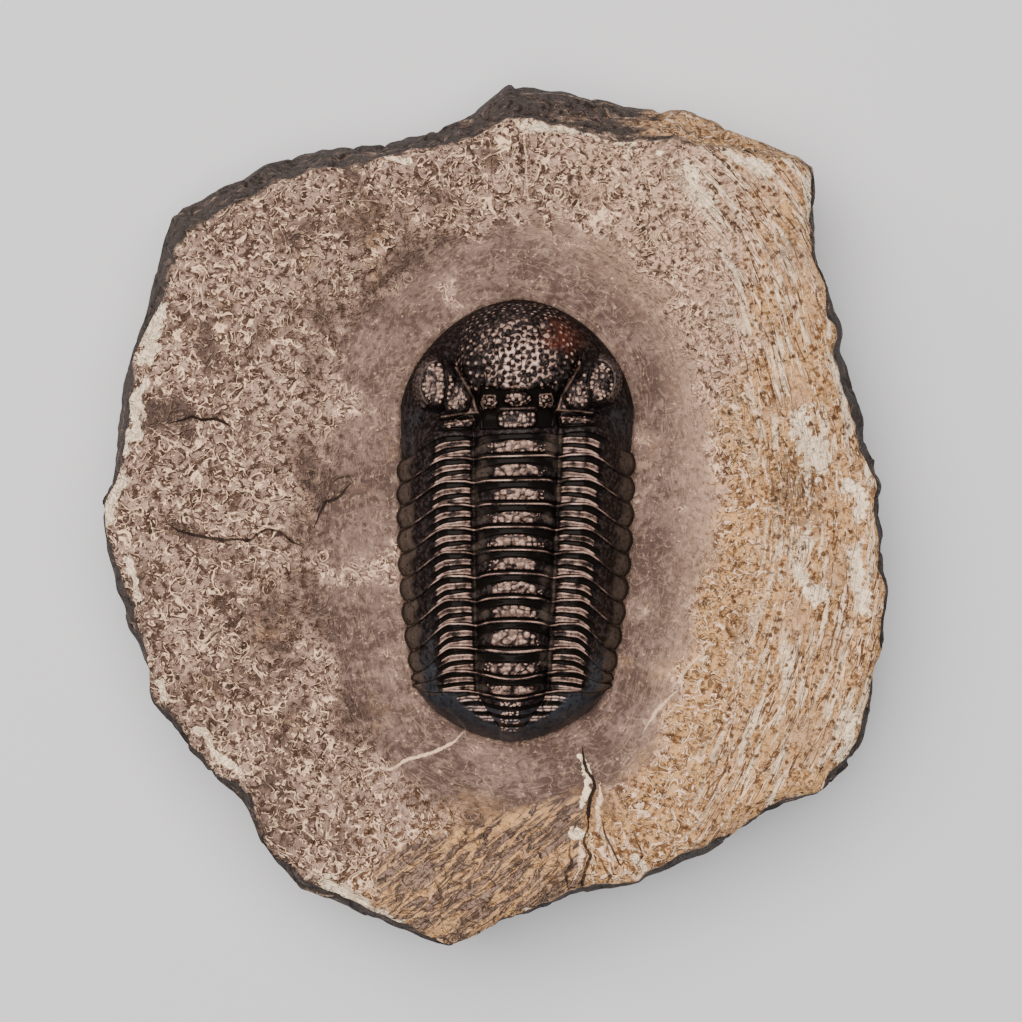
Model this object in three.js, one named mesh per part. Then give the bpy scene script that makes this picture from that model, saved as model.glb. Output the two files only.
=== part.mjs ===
import * as THREE from 'three';

// A phacopid trilobite on its limestone slab. Millimetres, +Z up, head towards +Y.
// The slab lies flat. Each hard plate of the animal is a solid of its own on the slab's seat.

// Levels, measured up from the underside of the slab.
const LEVEL = { base: 0, foot: 4, widest: 12, wall: 17, seat: 19.4, moat: 20.3, shelf: 21.7, rim: 22.9 };

// Clearances between neighbouring solids.
const SEAT_GAP = 0.3;
const PLATE_GAP = 0.4;

// Where the animal lies on the slab. Its own origin is on its axis, at the back of the head.
const FOSSIL_PLACE = { x: 2.85, y: 9.2, turn: THREE.MathUtils.degToRad(-1) };

// The animal, in its own frame: x across, y forward, z up from the underside of its plates.
const MARGIN_HEIGHT = 0.7;
const HEAD = { halfWidth: 13.3, length: 13.4, centre: 1.7, power: 1.8, shield: 8.7, slices: 40, steps: 14 };
const GLABELLA = { halfWidth: 7.2, taper: 2.7, front: 6.9, back: 5.6, centre: 7.6, top: 12, root: 8.9 };
const EYE = { x: 8.7, y: 4.7, halfWidth: 2.7, length: 3.7, top: 10.2 };
const THORAX = {
  segments: 11, start: -0.25, pitch: 2.66, lastPitch: 2.2, crown: 11, crownDrop: 3,
  halfWidth: 12.95, taper: 2.5, axis: 4.65, axisTaper: 0.9, fulcrum: 8.9, fulcrumTaper: 1.4,
  furrowDepth: 1.95, sweep: 2.3, sweepGain: 0.1, ringLead: 0.35, ringLag: 1.15, tipBulge: 0.3,
};
const TAIL = { halfWidth: 10.7, length: 6.4, centre: -28.6, power: 1.6, steps: 8 };

// How far forward the right side of the body lies, per millimetre across: all along it, and more
// at the back of the head, which is turned a little. Its front outline leans less.
const LEAN = { body: 0.0175, head: 0.033, lastSegment: 4, front: 0.015 };

// Rise of a segment's top surface from its front edge to its back edge: [share, millimetres].
// The front edge is sunk, and a furrow parts two bands.
const SEGMENT_RELIEF = [[0, -0.55], [0.22, 0.05], [0.5, -0.3], [0.8, 0.1], [1, -0.1]];

// The slab, about the middle of the moat. Outline at its widest level, counterclockwise from +X.
const MOAT = { x: 2.3, y: -0.8, seatMargin: 1.2, bank: 0.9, width: 7.2, shelfWidth: 2 };
const RIM_BEVEL = { width: 1.6, drop: 0.9 };
const FOOT_INSET = 1.2;
const BASE_INSET = 3.5;
const SLAB_SIDES = 88;
const SLAB_OUTLINE = [
  [45.3, -4.5], [45.2, 4.2], [43.8, 8.6], [43.6, 13.0], [40.6, 19.0], [40.8, 20.8], [39.2, 24.8],
  [37.5, 30.5], [37.2, 40.1], [34.5, 41.4], [28.4, 44.0], [22.6, 47.5], [16.9, 47.4], [9.0, 49.2],
  [1.7, 49.9], [-2.3, 46.9], [-8.6, 44.3], [-13.0, 43.2], [-22.0, 42.3], [-26.6, 40.8],
  [-33.8, 37.1], [-37.9, 35.3], [-40.1, 24.7], [-42.6, 14.9], [-43.8, 8.0], [-45.7, 0.7],
  [-45.0, -4.2], [-42.3, -13.8], [-40.2, -19.0], [-39.8, -22.2], [-35.2, -28.2], [-28.7, -34.8],
  [-25.7, -39.1], [-22.2, -43.3], [-15.3, -46.8], [-8.6, -48.9], [-4.9, -50.0], [3.2, -47.2],
  [10.2, -44.0], [17.0, -42.4], [24.1, -39.4], [32.2, -34.7], [38.2, -32.9], [42.0, -28.5],
  [43.9, -22.8], [45.7, -16.6],
].map(([x, y]) => new THREE.Vector2(x, y));

// How far the top rim lies inside that outline: [degrees counterclockwise from +X, millimetres].
const RIM_INSET = [
  [0, 1.7], [17, 2.6], [30, 1.8], [52, 1.9], [64, 4.8], [92, 5.2], [102, 2.8], [118, 2.9],
  [138, 4.2], [150, 2.0], [168, 2.3], [182, 1.8], [190, 2.5], [205, 1.7], [270, 1.6], [325, 2.0],
  [360, 1.7],
];

const mix = THREE.MathUtils.lerp;
const smooth = (low, high, value) => THREE.MathUtils.smoothstep(value, low, high);

// A rounded shoulder: 1 at t = 0, falling to 0 at t = 1 and beyond.
function shoulder(t, flatness, roundness) {
  return Math.max(0, 1 - Math.abs(t) ** flatness) ** roundness;
}

// Straight interpolation in a list of [position, value] pairs.
function alongTable(table, position) {
  const next = table.findIndex(([start]) => start >= position);
  if (next <= 0) return table[0][1];
  const [from, a] = table[next - 1];
  const [to, b] = table[next];
  return mix(a, b, (position - from) / (to - from));
}

// Distance from a centre to a closed outline in one direction.
function rayLength(outline, centre, angle) {
  const way = new THREE.Vector2(Math.cos(angle), Math.sin(angle));
  let longest = 0;
  outline.forEach((point, i) => {
    const start = point.clone().sub(centre);
    const side = outline[(i + 1) % outline.length].clone().sub(point);
    const turn = way.cross(side);
    if (turn === 0) return;
    const distance = start.cross(side) / turn;
    const share = start.cross(way) / turn;
    const meets = share > -1e-9 && share < 1 + 1e-9;
    if (meets) longest = Math.max(longest, distance);
  });
  return longest;
}

// A closed solid through a row of closed loops with equal point counts, with a fan on each end.
function skinLoops(loops) {
  const size = loops[0].length;
  const faces = [];
  for (let i = 0; i + 1 < loops.length; i += 1) {
    for (let j = 0; j < size; j += 1) {
      const k = (j + 1) % size;
      faces.push(i * size + j, (i + 1) * size + j, (i + 1) * size + k);
      faces.push(i * size + j, (i + 1) * size + k, i * size + k);
    }
  }
  const last = (loops.length - 1) * size;
  for (let j = 1; j + 1 < size; j += 1) {
    faces.push(0, j, j + 1);
    faces.push(last, last + j + 1, last + j);
  }
  const geometry = new THREE.BufferGeometry();
  geometry.setFromPoints(loops.flat());
  geometry.setIndex(faces);
  return geometry;
}

// A slice along the body: its top points, closed by a flat underside at height 0.
function slice(top) {
  const ends = [top[top.length - 1], top[0]];
  return [...top, ...ends.map(({ x, y }) => new THREE.Vector3(x, y, 0))];
}

// Half width of the thorax between two tips.
function thoraxHalfWidth(y) {
  const back = Math.max(0, (-y - 4) / 26);
  return THORAX.halfWidth - THORAX.taper * back ** 2.4;
}

// The lean of one line between plates.
function leanAt(k) {
  return LEAN.body + LEAN.head * (1 - smooth(0, LEAN.lastSegment, k));
}

// The line between two plates from margin to margin, moved forward by a distance. Line 0 is the
// back of the head and line 11 the front of the tail. It rises over the axis, runs level to the
// fulcrum on each side, and then sweeps back and down to the margin.
function plateLine(k, forward) {
  const share = k / THORAX.segments;
  const crown = THORAX.crown - THORAX.crownDrop * share ** 2.4;
  const furrow = crown - THORAX.furrowDepth;
  const axis = THORAX.axis - THORAX.axisTaper * share ** 1.5;
  const fulcrum = THORAX.fulcrum - THORAX.fulcrumTaper * share ** 2;
  const fullPitches = Math.min(k, THORAX.segments - 1);
  const level = THORAX.start - THORAX.pitch * fullPitches - THORAX.lastPitch * (k - fullPitches);
  const sweep = (THORAX.sweep + THORAX.sweepGain * k) * (1 - smooth(8.5, 11.3, k));
  const lag = THORAX.ringLag * smooth(8.2, 9.4, k) - THORAX.ringLead * smooth(2, 6, k);
  const lean = leanAt(k);
  const margin = thoraxHalfWidth(level - sweep);
  const flank = [0.3, 0.55, 0.76, 0.91, 1].map((t) => [
    mix(fulcrum, margin, t), mix(MARGIN_HEIGHT, furrow - 0.3, shoulder(t, 1.5, 0.8))]);
  const section = [
    [0, crown], [0.5 * axis, crown - 0.3], [0.85 * axis, crown - 1.2], [axis + 0.3, furrow],
    [axis + 1.5, furrow + 0.2], [fulcrum - 0.3, furrow - 0.1], ...flank];
  const half = section.map(([x, z]) => {
    const back = lag * shoulder(x / axis, 2, 1) + sweep * smooth(fulcrum - 1.2, margin, x);
    return new THREE.Vector3(x, level - back + forward, z);
  });
  const left = half.slice(1).reverse().map(({ x, y, z }) => new THREE.Vector3(-x, y, z));
  return [...left, ...half].map(({ x, y, z }) => new THREE.Vector3(x, y + lean * x, z));
}

// A point on such a line, at one distance across.
function pointAcross(line, x) {
  const next = Math.max(1, line.findIndex((point) => point.x > x - 1e-9));
  const from = line[next - 1];
  const to = line[next];
  return new THREE.Vector3().lerpVectors(from, to, (x - from.x) / (to.x - from.x));
}

// One thoracic segment: slices between the lines before and behind it, with tips rounded in plan.
function segmentGeometry(k) {
  const front = plateLine(k - 1, -PLATE_GAP / 2);
  const back = plateLine(k, PLATE_GAP / 2);
  const loops = front.map((start, i) => {
    const tip = smooth(0.9, 1, Math.abs(start.x) / front[front.length - 1].x);
    const top = SEGMENT_RELIEF.map(([share, rise]) => {
      const point = new THREE.Vector3().lerpVectors(start, back[i], share);
      point.x += Math.sign(point.x) * tip * THORAX.tipBulge * shoulder(2 * share - 1, 2, 1);
      point.z = Math.max(0.5 * MARGIN_HEIGHT, point.z + rise * smooth(0, 4, start.z));
      return point;
    });
    return slice(top);
  });
  return skinLoops(loops.reverse());
}

// Height of the head at a point in plan: a domed shield, the inflated glabella and two eyes.
function headHeight(x, y) {
  const across = Math.abs(x) / HEAD.halfWidth;
  const ahead = Math.max(0, (y - HEAD.centre) / HEAD.length);
  const level = (across ** HEAD.power + ahead ** HEAD.power) ** (1 / HEAD.power);
  const shield = mix(MARGIN_HEIGHT, HEAD.shield, shoulder(level, 2.2, 0.6));
  const forward = Math.max(0, (y - GLABELLA.centre) / GLABELLA.front);
  const behind = Math.max(0, (GLABELLA.centre - y) / GLABELLA.back);
  const width = GLABELLA.halfWidth - GLABELLA.taper * behind;
  const reach = ((Math.abs(x) / width) ** 2.5 + forward ** 2.3 + behind ** 5) ** (1 / 2.5);
  const root = mix(GLABELLA.root, 1, smooth(4, 12, y));
  const glabella = reach < 1 ? mix(root, GLABELLA.top, shoulder(reach, 2.6, 0.5)) : 0;
  const away = Math.hypot((Math.abs(x) - EYE.x) / EYE.halfWidth, (y - EYE.y) / EYE.length);
  return Math.max(shield, glabella, EYE.top * shoulder(away, 6, 0.35));
}

// The head: slices from its back line to its front outline.
function headGeometry() {
  const rearLine = plateLine(0, PLATE_GAP / 2);
  const lean = leanAt(0);
  const margin = rearLine[rearLine.length - 1].x;
  const loops = [];
  for (let i = 0; i <= HEAD.slices; i += 1) {
    const even = 2 * (i / HEAD.slices) - 1;
    const share = mix(even, Math.sin((even * Math.PI) / 2), 0.6);
    const rear = pointAcross(rearLine, share * margin);
    const frontX = 0.992 * share * HEAD.halfWidth;
    const frontY = HEAD.centre + LEAN.front * frontX
      + HEAD.length * shoulder(frontX / HEAD.halfWidth, HEAD.power, 1 / HEAD.power);
    const top = [];
    for (let j = 0; j <= HEAD.steps; j += 1) {
      const t = Math.sin(((j / HEAD.steps) * Math.PI) / 2);
      const x = mix(rear.x, frontX, t);
      const y = mix(rear.y, frontY, t);
      const onMargin = j === HEAD.steps || i === 0 || i === HEAD.slices;
      const inside = headHeight(x, y - mix(lean, LEAN.front, t) * x);
      const joined = mix(rear.z, inside, smooth(0, 3, y - rear.y));
      top.push(new THREE.Vector3(x, y, onMargin ? MARGIN_HEIGHT : joined));
    }
    loops.push(slice(top));
  }
  return skinLoops(loops);
}

// The tail shield: slices from the last line to its rounded hind outline.
function tailGeometry() {
  const line = plateLine(THORAX.segments, -PLATE_GAP / 2);
  const margin = line[line.length - 1].x;
  const loops = line.map((start, i) => {
    const endX = 0.97 * TAIL.halfWidth * (start.x / margin);
    const endY = TAIL.centre + leanAt(THORAX.segments) * endX
      - TAIL.length * shoulder(endX / TAIL.halfWidth, TAIL.power, 1 / TAIL.power);
    const atSide = i === 0 || i === line.length - 1;
    const top = [];
    for (let j = 0; j <= TAIL.steps; j += 1) {
      const t = j / TAIL.steps;
      const height = atSide ? MARGIN_HEIGHT : mix(MARGIN_HEIGHT, start.z, shoulder(t, 2.6, 0.75));
      top.push(new THREE.Vector3(mix(start.x, endX, t), mix(start.y, endY, t), height));
    }
    return slice(top);
  });
  return skinLoops(loops.reverse());
}

// Half width of the whole animal in plan.
function fossilHalfWidth(y) {
  if (y < TAIL.centre) {
    return TAIL.halfWidth * shoulder((TAIL.centre - y) / TAIL.length, TAIL.power, 1 / TAIL.power);
  }
  const ahead = Math.max(0, (y - HEAD.centre) / HEAD.length);
  const head = HEAD.halfWidth * shoulder(ahead, HEAD.power, 1 / HEAD.power);
  return Math.min(head, thoraxHalfWidth(y) + THORAX.tipBulge);
}

// Plan outline of the seat: the animal's outline on the slab, moved outwards by a margin.
function seatOutline() {
  const count = 60;
  const place = new THREE.Vector2(FOSSIL_PLACE.x, FOSSIL_PLACE.y);
  const origin = new THREE.Vector2();
  const points = [];
  for (let i = 0; i < count; i += 1) {
    const angle = (i / count) * 2 * Math.PI;
    const along = 0.5 + 0.5 * Math.sin(angle);
    const y = mix(TAIL.centre - TAIL.length, HEAD.centre + HEAD.length, along);
    const point = new THREE.Vector2(Math.sign(Math.cos(angle)) * fossilHalfWidth(y), y);
    const outward = new THREE.Vector2(0.6 * Math.cos(angle), Math.sin(angle)).normalize();
    point.addScaledVector(outward, MOAT.seatMargin);
    points.push(point.rotateAround(origin, FOSSIL_PLACE.turn).add(place));
  }
  return points;
}

// The slab: rings from the flat seat over the moat and the rim, down the sides to the flat base.
function matrixGeometry() {
  const seat = seatOutline();
  const centre = new THREE.Vector2(MOAT.x, MOAT.y);
  const moatEdge = MOAT.width + MOAT.shelfWidth;
  const rimLevel = (angle) => LEVEL.rim + 0.6 * Math.sin(angle + 2.2) + 0.4 * Math.sin(3 * angle);
  const rings = [
    [({ inner }) => 0.4 * inner, () => LEVEL.seat],
    [({ inner }) => inner, () => LEVEL.seat],
    [({ inner }) => inner + MOAT.bank, () => LEVEL.moat],
    [({ inner }) => inner + MOAT.width, () => LEVEL.moat + 0.4],
    [({ inner }) => inner + moatEdge, () => LEVEL.shelf],
    [({ inner, rim }) => mix(inner + moatEdge, rim, 0.5), (angle) => rimLevel(angle) - 0.2],
    [({ rim }) => rim - RIM_BEVEL.width, rimLevel],
    [({ rim }) => rim, (angle) => rimLevel(angle) - RIM_BEVEL.drop],
    [({ rim, outer }) => mix(rim, outer, 0.75), () => LEVEL.wall],
    [({ outer }) => outer, () => LEVEL.widest],
    [({ outer }) => outer - FOOT_INSET, () => LEVEL.foot],
    [({ outer }) => outer - BASE_INSET, () => LEVEL.base],
    [({ outer }) => 0.5 * outer, () => LEVEL.base],
  ];
  const angles = Array.from({ length: SLAB_SIDES }, (_, i) => (i / SLAB_SIDES) * 2 * Math.PI);
  const reaches = angles.map((angle) => {
    const outer = rayLength(SLAB_OUTLINE, centre, angle);
    const rim = outer - alongTable(RIM_INSET, THREE.MathUtils.radToDeg(angle));
    return { inner: rayLength(seat, centre, angle), rim, outer };
  });
  return skinLoops(rings.map(([distance, level]) => angles.map((angle, i) => {
    const radius = distance(reaches[i]);
    const x = MOAT.x + radius * Math.cos(angle);
    return new THREE.Vector3(x, MOAT.y + radius * Math.sin(angle), level(angle));
  })));
}

// A named sub-part with a finish of its own.
function subPart(name, geometry, color, roughness) {
  geometry.computeVertexNormals();
  const finish = new THREE.MeshStandardMaterial({ color, roughness, metalness: 0 });
  const mesh = new THREE.Mesh(geometry, finish);
  mesh.name = name;
  return mesh;
}

const fossil = new THREE.Group();
fossil.add(subPart('cephalon', headGeometry(), 0x2b2422, 0.32));
for (let k = 1; k <= THORAX.segments; k += 1) {
  const name = `thoracic_segment_${String(k).padStart(2, '0')}`;
  fossil.add(subPart(name, segmentGeometry(k), 0x31292a, 0.32));
}
fossil.add(subPart('pygidium', tailGeometry(), 0x2a2829, 0.35));
fossil.position.set(FOSSIL_PLACE.x, FOSSIL_PLACE.y, LEVEL.seat + SEAT_GAP);
fossil.rotation.z = FOSSIL_PLACE.turn;

const group = new THREE.Group();
group.add(subPart('matrix', matrixGeometry(), 0x9c8373, 0.9));
group.add(fossil);

// The origin is at the bottom centre of the whole object.
const middle = new THREE.Box3().setFromObject(group).getCenter(new THREE.Vector3());
group.position.set(-middle.x, -middle.y, 0);

export default group;
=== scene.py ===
"""A phacopid trilobite on its limestone slab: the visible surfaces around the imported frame."""
import itertools
import math

import bpy
import numpy as np
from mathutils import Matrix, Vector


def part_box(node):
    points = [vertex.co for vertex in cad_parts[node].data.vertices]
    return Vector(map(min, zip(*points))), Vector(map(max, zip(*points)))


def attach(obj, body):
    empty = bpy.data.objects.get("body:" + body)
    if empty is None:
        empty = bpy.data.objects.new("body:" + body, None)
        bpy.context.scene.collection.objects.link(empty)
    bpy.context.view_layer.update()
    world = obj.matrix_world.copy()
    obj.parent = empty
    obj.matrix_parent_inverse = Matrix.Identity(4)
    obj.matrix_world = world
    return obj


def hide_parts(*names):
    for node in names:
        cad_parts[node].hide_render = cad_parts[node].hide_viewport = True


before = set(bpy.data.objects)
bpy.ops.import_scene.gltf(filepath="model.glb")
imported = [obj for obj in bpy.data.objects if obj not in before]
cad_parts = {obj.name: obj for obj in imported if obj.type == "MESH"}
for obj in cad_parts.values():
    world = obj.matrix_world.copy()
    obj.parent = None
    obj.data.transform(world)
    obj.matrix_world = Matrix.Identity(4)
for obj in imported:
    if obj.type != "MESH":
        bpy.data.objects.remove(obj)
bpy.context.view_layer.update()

bl_info = {
    "name": "Trilobite on limestone",
    "version": (1, 0, 0),
    "blender": (4, 5, 0),
    "location": "3D View > Sidebar > Trilobite",
    "description": "Builds a phacopid trilobite fossil, plate by plate, on its prepared limestone slab",
    "category": "Add Mesh",
}

# Shapes are worked out in millimetres and put into the meshes in metres.
MM = 0.001

# How many sections and rows each surface has, the slab's in rings round it.
SEGMENT_GRID = (300, 46)
HEAD_GRID = (330, 214)
EYE_GRID = (190, 44)
TAIL_GRID = (280, 150)
SLAB_GRID = (760, 104)
WALL_RINGS = 20

# Steps of the fine curves that evenly spaced rows are taken from.
FINE_ACROSS = 1201
FINE_HEAD = 900
FINE_TAIL = 700
FINE_OUTLINE = 400

# Half the board's side, and each lamp's name, place, size and power, in metres and watts.
BOARD_HALF = 1.5
LAMPS = (("overhead", (-0.08, 0.10, 0.75), 0.70, 13.0), ("side_fill", (-0.9, 0.5, 0.6), 0.5, 2.4))
LAMP_COLOUR = (1.0, 0.88, 0.80)
SKY = {"Color": (0.8, 0.9, 1.0, 1.0), "Strength": 0.14}

# The camera looks straight down on a point of the slab, and its view is so wide at one level.
CAMERA = {"x": 2.2, "y": 0.35, "height": 400.0, "level": 20.0, "width": 115.9}

# Sizes of the ornament as it is by default, in metres.
TUBERCLE_SPACING = 0.00075
RIB_RELIEF = 0.00036
SCRIBE_DEPTH = 0.0003

# Levels of the slab, from its underside.
LEVEL = {"base": 0.0, "foot": 4.0, "widest": 12.0, "wall": 17.0, "seat": 19.4, "moat": 20.3,
         "shelf": 21.7, "rim": 22.9}

# The animal, in its own frame: x across, y forward, z up from the underside of its plates.
MARGIN_HEIGHT = 0.7
HEAD = {"half_width": 13.3, "length": 13.4, "centre": 1.7, "power": 1.8, "shield": 8.7}
GLABELLA = {"half_width": 7.2, "taper": 3.5, "front": 6.9, "back": 5.6, "centre": 7.6, "top": 12.0,
            "root": 8.9}
EYE = {"x": 8.85, "y": 5.35, "half_width": 2.65, "length": 3.2, "top": 10.2}
CHEEK = {"x": 6.7, "y": 4.0, "half_width": 2.0, "length": 2.5, "top": 9.75}
THORAX = {"segments": 11, "start": -0.25, "pitch": 2.66, "last_pitch": 2.2, "crown": 11.0,
          "crown_drop": 3.0, "half_width": 12.95, "taper": 2.5, "axis": 4.65, "axis_taper": 0.9,
          "fulcrum": 8.9, "fulcrum_taper": 1.4, "furrow": 1.95, "sweep": 2.3, "sweep_gain": 0.1,
          "ring_lead": 0.35, "ring_lag": 1.15, "tip_bulge": 0.6}
TAIL = {"half_width": 10.7, "length": 6.4, "centre": -28.6, "power": 1.6}

# Places on the head: the ridge beside the axial furrow, the lobes over the eyes, the nodes and the
# lobe behind the glabella, the occipital ring, the painted highlight on the glabella, and the rust.
AXIAL_RIDGE = [(6.9, 7.2), (4.95, 3.9), (4.55, 2.4)]
EYE_LOBE = {"centre": (9.25, 5.1), "size": (1.45, 2.6), "inner": 8.15}
NODE = {"centre": (3.2, 3.2), "size": (1.0, 0.78)}
MIDDLE_LOBE = {"centre": (0.0, 3.55), "size": (1.65, 0.92)}
OCCIPITAL = {"y": 1.25, "half_width": 2.3, "half_length": 0.95}
GLABELLA_HIGHLIGHT = {"y": 8.15, "half_width": 4.9, "front": 5.0, "back": 3.9}
RUST = {"x": 4.9, "y": 10.4, "reach": 3.1}

# Slopes of the lines that run across the animal: the whole body's, what is added at the head and
# fades out by the last segment given, and that of the front of the head.
LEAN = {"body": 0.0175, "head": 0.033, "last_segment": 4, "front": 0.015}

# Where the animal lies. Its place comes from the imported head, and its turn is a degree clockwise.
TURN = math.radians(-1.0)
HEAD_LOW, HEAD_HIGH = (np.array(corner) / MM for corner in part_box("cephalon"))
ANIMAL = np.array([
    0.5 * (HEAD_LOW[0] + HEAD_HIGH[0]) + math.sin(TURN) * HEAD["centre"],
    HEAD_HIGH[1] - HEAD["centre"] - HEAD["length"],
    HEAD_LOW[2],
])

# The slab's own middle, and its outline at its widest level, counterclockwise from +X.
SLAB = ANIMAL - (2.85, 9.2, HEAD_LOW[2])
MOAT = {"x": 2.3, "y": -0.8, "width": 7.2, "shelf": 2.2}
RIM_BEVEL = {"width": 1.6, "drop": 0.9}
FOOT_INSET = 1.2
BASE_INSET = 3.5
SLAB_OUTLINE = np.array([
    (45.3, -4.5), (45.2, 4.2), (43.8, 8.6), (43.6, 13.0), (40.6, 19.0), (40.8, 20.8), (39.2, 24.8),
    (37.5, 30.5), (37.2, 40.1), (34.5, 41.4), (28.4, 44.0), (22.6, 47.5), (16.9, 47.4), (9.0, 49.2),
    (1.7, 49.9), (-2.3, 46.9), (-8.6, 44.3), (-13.0, 43.2), (-22.0, 42.3), (-26.6, 40.8),
    (-33.8, 37.1), (-37.9, 35.3), (-40.1, 24.7), (-42.6, 14.9), (-43.8, 8.0), (-45.7, 0.7),
    (-45.0, -4.2), (-42.3, -13.8), (-40.2, -19.0), (-39.8, -22.2), (-35.2, -28.2), (-28.7, -34.8),
    (-25.7, -39.1), (-22.2, -43.3), (-15.3, -46.8), (-8.6, -48.9), (-4.9, -50.0), (3.2, -47.2),
    (10.2, -44.0), (17.0, -42.4), (24.1, -39.4), (32.2, -34.7), (38.2, -32.9), (42.0, -28.5),
    (43.9, -22.8), (45.7, -16.6),
])

# How far the top rim lies inside that outline: degrees counterclockwise from +X, millimetres.
RIM_INSET = np.array([
    (0, 1.7), (17, 2.6), (30, 1.8), (52, 1.9), (64, 4.8), (92, 5.2), (102, 2.8), (118, 2.9),
    (138, 4.2), (150, 2.0), (168, 2.3), (182, 1.8), (190, 2.5), (205, 1.7), (270, 1.6), (325, 2.0),
    (360, 1.7),
])

# Pale broken chips on the slab: x and y of the two ends, and the width.
CHIPS = [
    (-36.3, 30.5, -37.0, 28.5, 1.6), (-36.6, 22.5, -38.6, 18.0, 3.4), (-39.4, 14.5, -41.6, 6.0, 1.6),
    (-42.4, 3.5, -43.6, -0.5, 2.0), (-40.8, -5.0, -39.9, -9.5, 1.3), (-38.0, -19.0, -37.3, -21.0, 1.4),
    (-34.0, -24.0, -28.5, -30.0, 0.9), (-19.0, -41.8, -11.4, -45.6, 2.6), (3.5, -44.6, 7.5, -45.5, 1.1),
    (-25.2, 39.3, -24.2, 38.4, 1.2), (-13.5, 40.8, -8.5, 40.0, 1.0), (4.5, 44.3, 14.5, 42.4, 2.3),
    (18.3, 41.6, 19.2, 41.2, 0.9), (21.5, 38.8, 24.5, 35.6, 2.0), (27.5, 40.2, 30.5, 38.8, 1.8),
    (21.5, 44.6, 22.6, 43.8, 1.0), (35.8, 38.5, 36.2, 32.0, 1.4), (37.0, 28.2, 37.6, 26.8, 1.0),
    (38.5, 18.5, 39.6, 13.2, 1.8), (35.0, 11.0, 37.2, 5.0, 3.0), (40.5, 3.0, 41.9, -0.5, 1.8),
    (41.0, -4.0, 42.0, -11.0, 2.0), (34.8, -6.5, 37.4, -8.6, 2.6), (40.8, -23.0, 39.6, -27.0, 2.0),
    (38.0, 22.5, 38.3, 20.0, 1.0), (-37.6, 34.0, -38.6, 31.0, 0.7),
    (10.3, -28.6, 10.5, -32.6, 0.9), (9.3, -35.6, 10.4, -35.0, 1.2), (16.6, -38.6, 17.6, -40.8, 0.8),
]

# The two porous patches near the right edge.
POROUS = ({"centre": (34.4, 1.6), "size": (4.0, 7.5)}, {"centre": (33.3, 29.8), "size": (1.9, 3.6)})

# Dark cracks and grooves, and pale veins and edges: width, strength, and the line on the slab.
CRACKS = [
    (0.32, 1.0, [(-36.4, 10.2), (-34.0, 10.9), (-32.7, 10.6), (-31.0, 10.9), (-29.0, 9.8)]),
    (0.30, 0.9, [(-38.2, 5.6), (-37.1, 5.3), (-35.7, 5.2)]),
    (0.30, 0.9, [(-37.1, -1.8), (-36.4, -1.2), (-34.0, -2.1), (-30.0, -2.8), (-27.8, -2.9), (-25.2, -2.0),
                 (-22.7, -2.9), (-21.2, -3.4)]),
    (0.34, 0.9, [(-20.0, -1.2), (-19.6, -0.2), (-18.9, 1.1), (-17.4, 2.1), (-15.7, 3.6)]),
    (0.26, 0.8, [(-18.7, 2.4), (-18.5, 3.1), (-17.6, 3.9), (-16.2, 4.1), (-15.7, 3.7)]),
    (0.55, 0.6, [(-27.5, 4.0), (-27.1, 5.3), (-26.0, 5.8), (-24.9, 5.3), (-24.4, 4.2)]),
    (0.30, 0.35, [(-24.0, 3.7), (-22.3, 1.2), (-20.4, -1.0)]),
    (0.30, 0.55, [(3.3, 44.6), (3.4, 40.0), (3.5, 35.6)]),
    (0.50, 1.0, [(10.5, -26.7), (10.8, -28.3), (11.5, -30.6), (11.1, -32.5), (10.9, -35.5)]),
    (0.40, 0.9, [(11.1, -34.8), (10.5, -36.9), (11.2, -38.8), (10.4, -40.4), (10.2, -42.6)]),
    (0.36, 0.9, [(12.6, -35.0), (12.9, -36.8), (14.2, -38.4), (14.6, -39.9)]),
    (0.36, 0.8, [(12.0, -38.6), (13.4, -40.6), (12.8, -42.4)]),
    (0.36, 0.8, [(8.7, -37.0), (9.3, -39.2), (8.4, -40.6), (8.8, -42.8)]),
    (0.30, 0.7, [(15.9, -36.0), (17.0, -38.2), (16.4, -39.8)]),
]
VEINS = [
    (0.36, 0.8, [(-14.6, -29.5), (-10.7, -28.4), (-6.8, -27.2), (-4.0, -25.8), (-3.2, -25.0)]),
    (0.26, 0.8, [(-33.0, 11.4), (-33.0, 9.2), (-32.5, 8.2), (-34.0, 7.2), (-38.0, 9.2)]),
    (0.40, 0.9, [(-27.5, 2.9), (-26.9, 1.9), (-25.7, 1.6), (-24.7, 2.1), (-24.4, 3.2)]),
    (0.22, 0.7, [(3.9, 44.0), (4.0, 40.0), (4.0, 35.8)]),
    (0.75, 1.0, [(12.2, -30.8), (12.1, -33.4), (12.1, -35.6), (13.4, -37.6), (13.6, -39.4)]),
    (0.60, 1.0, [(9.9, -36.8), (10.4, -38.6), (9.5, -40.8)]),
    (0.60, 1.0, [(11.2, -40.6), (11.6, -42.2)]),
    (0.55, 1.0, [(14.0, -41.2), (15.0, -40.2), (16.4, -41.0), (17.4, -40.0)]),
    (0.50, 1.0, [(14.8, -35.6), (15.4, -37.4), (17.4, -38.0)]),
    (0.50, 0.7, [(20.5, -19.5), (22.5, -16.8), (25.0, -14.6)]),
    (0.45, 0.7, [(17.5, -24.5), (18.9, -22.0), (21.0, -20.2)]),
]


def smooth(low, high, value):
    """0 up to low, 1 from high, and a cubic step between. It falls where low is the larger."""
    t = np.clip((value - low) / (high - low), 0.0, 1.0)
    return t * t * (3.0 - 2.0 * t)


def window(value, start, full, end, gone):
    """1 from full to end, with a smooth step up from start and a smooth step down to gone."""
    return smooth(start, full, value) * smooth(gone, end, value)


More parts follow.
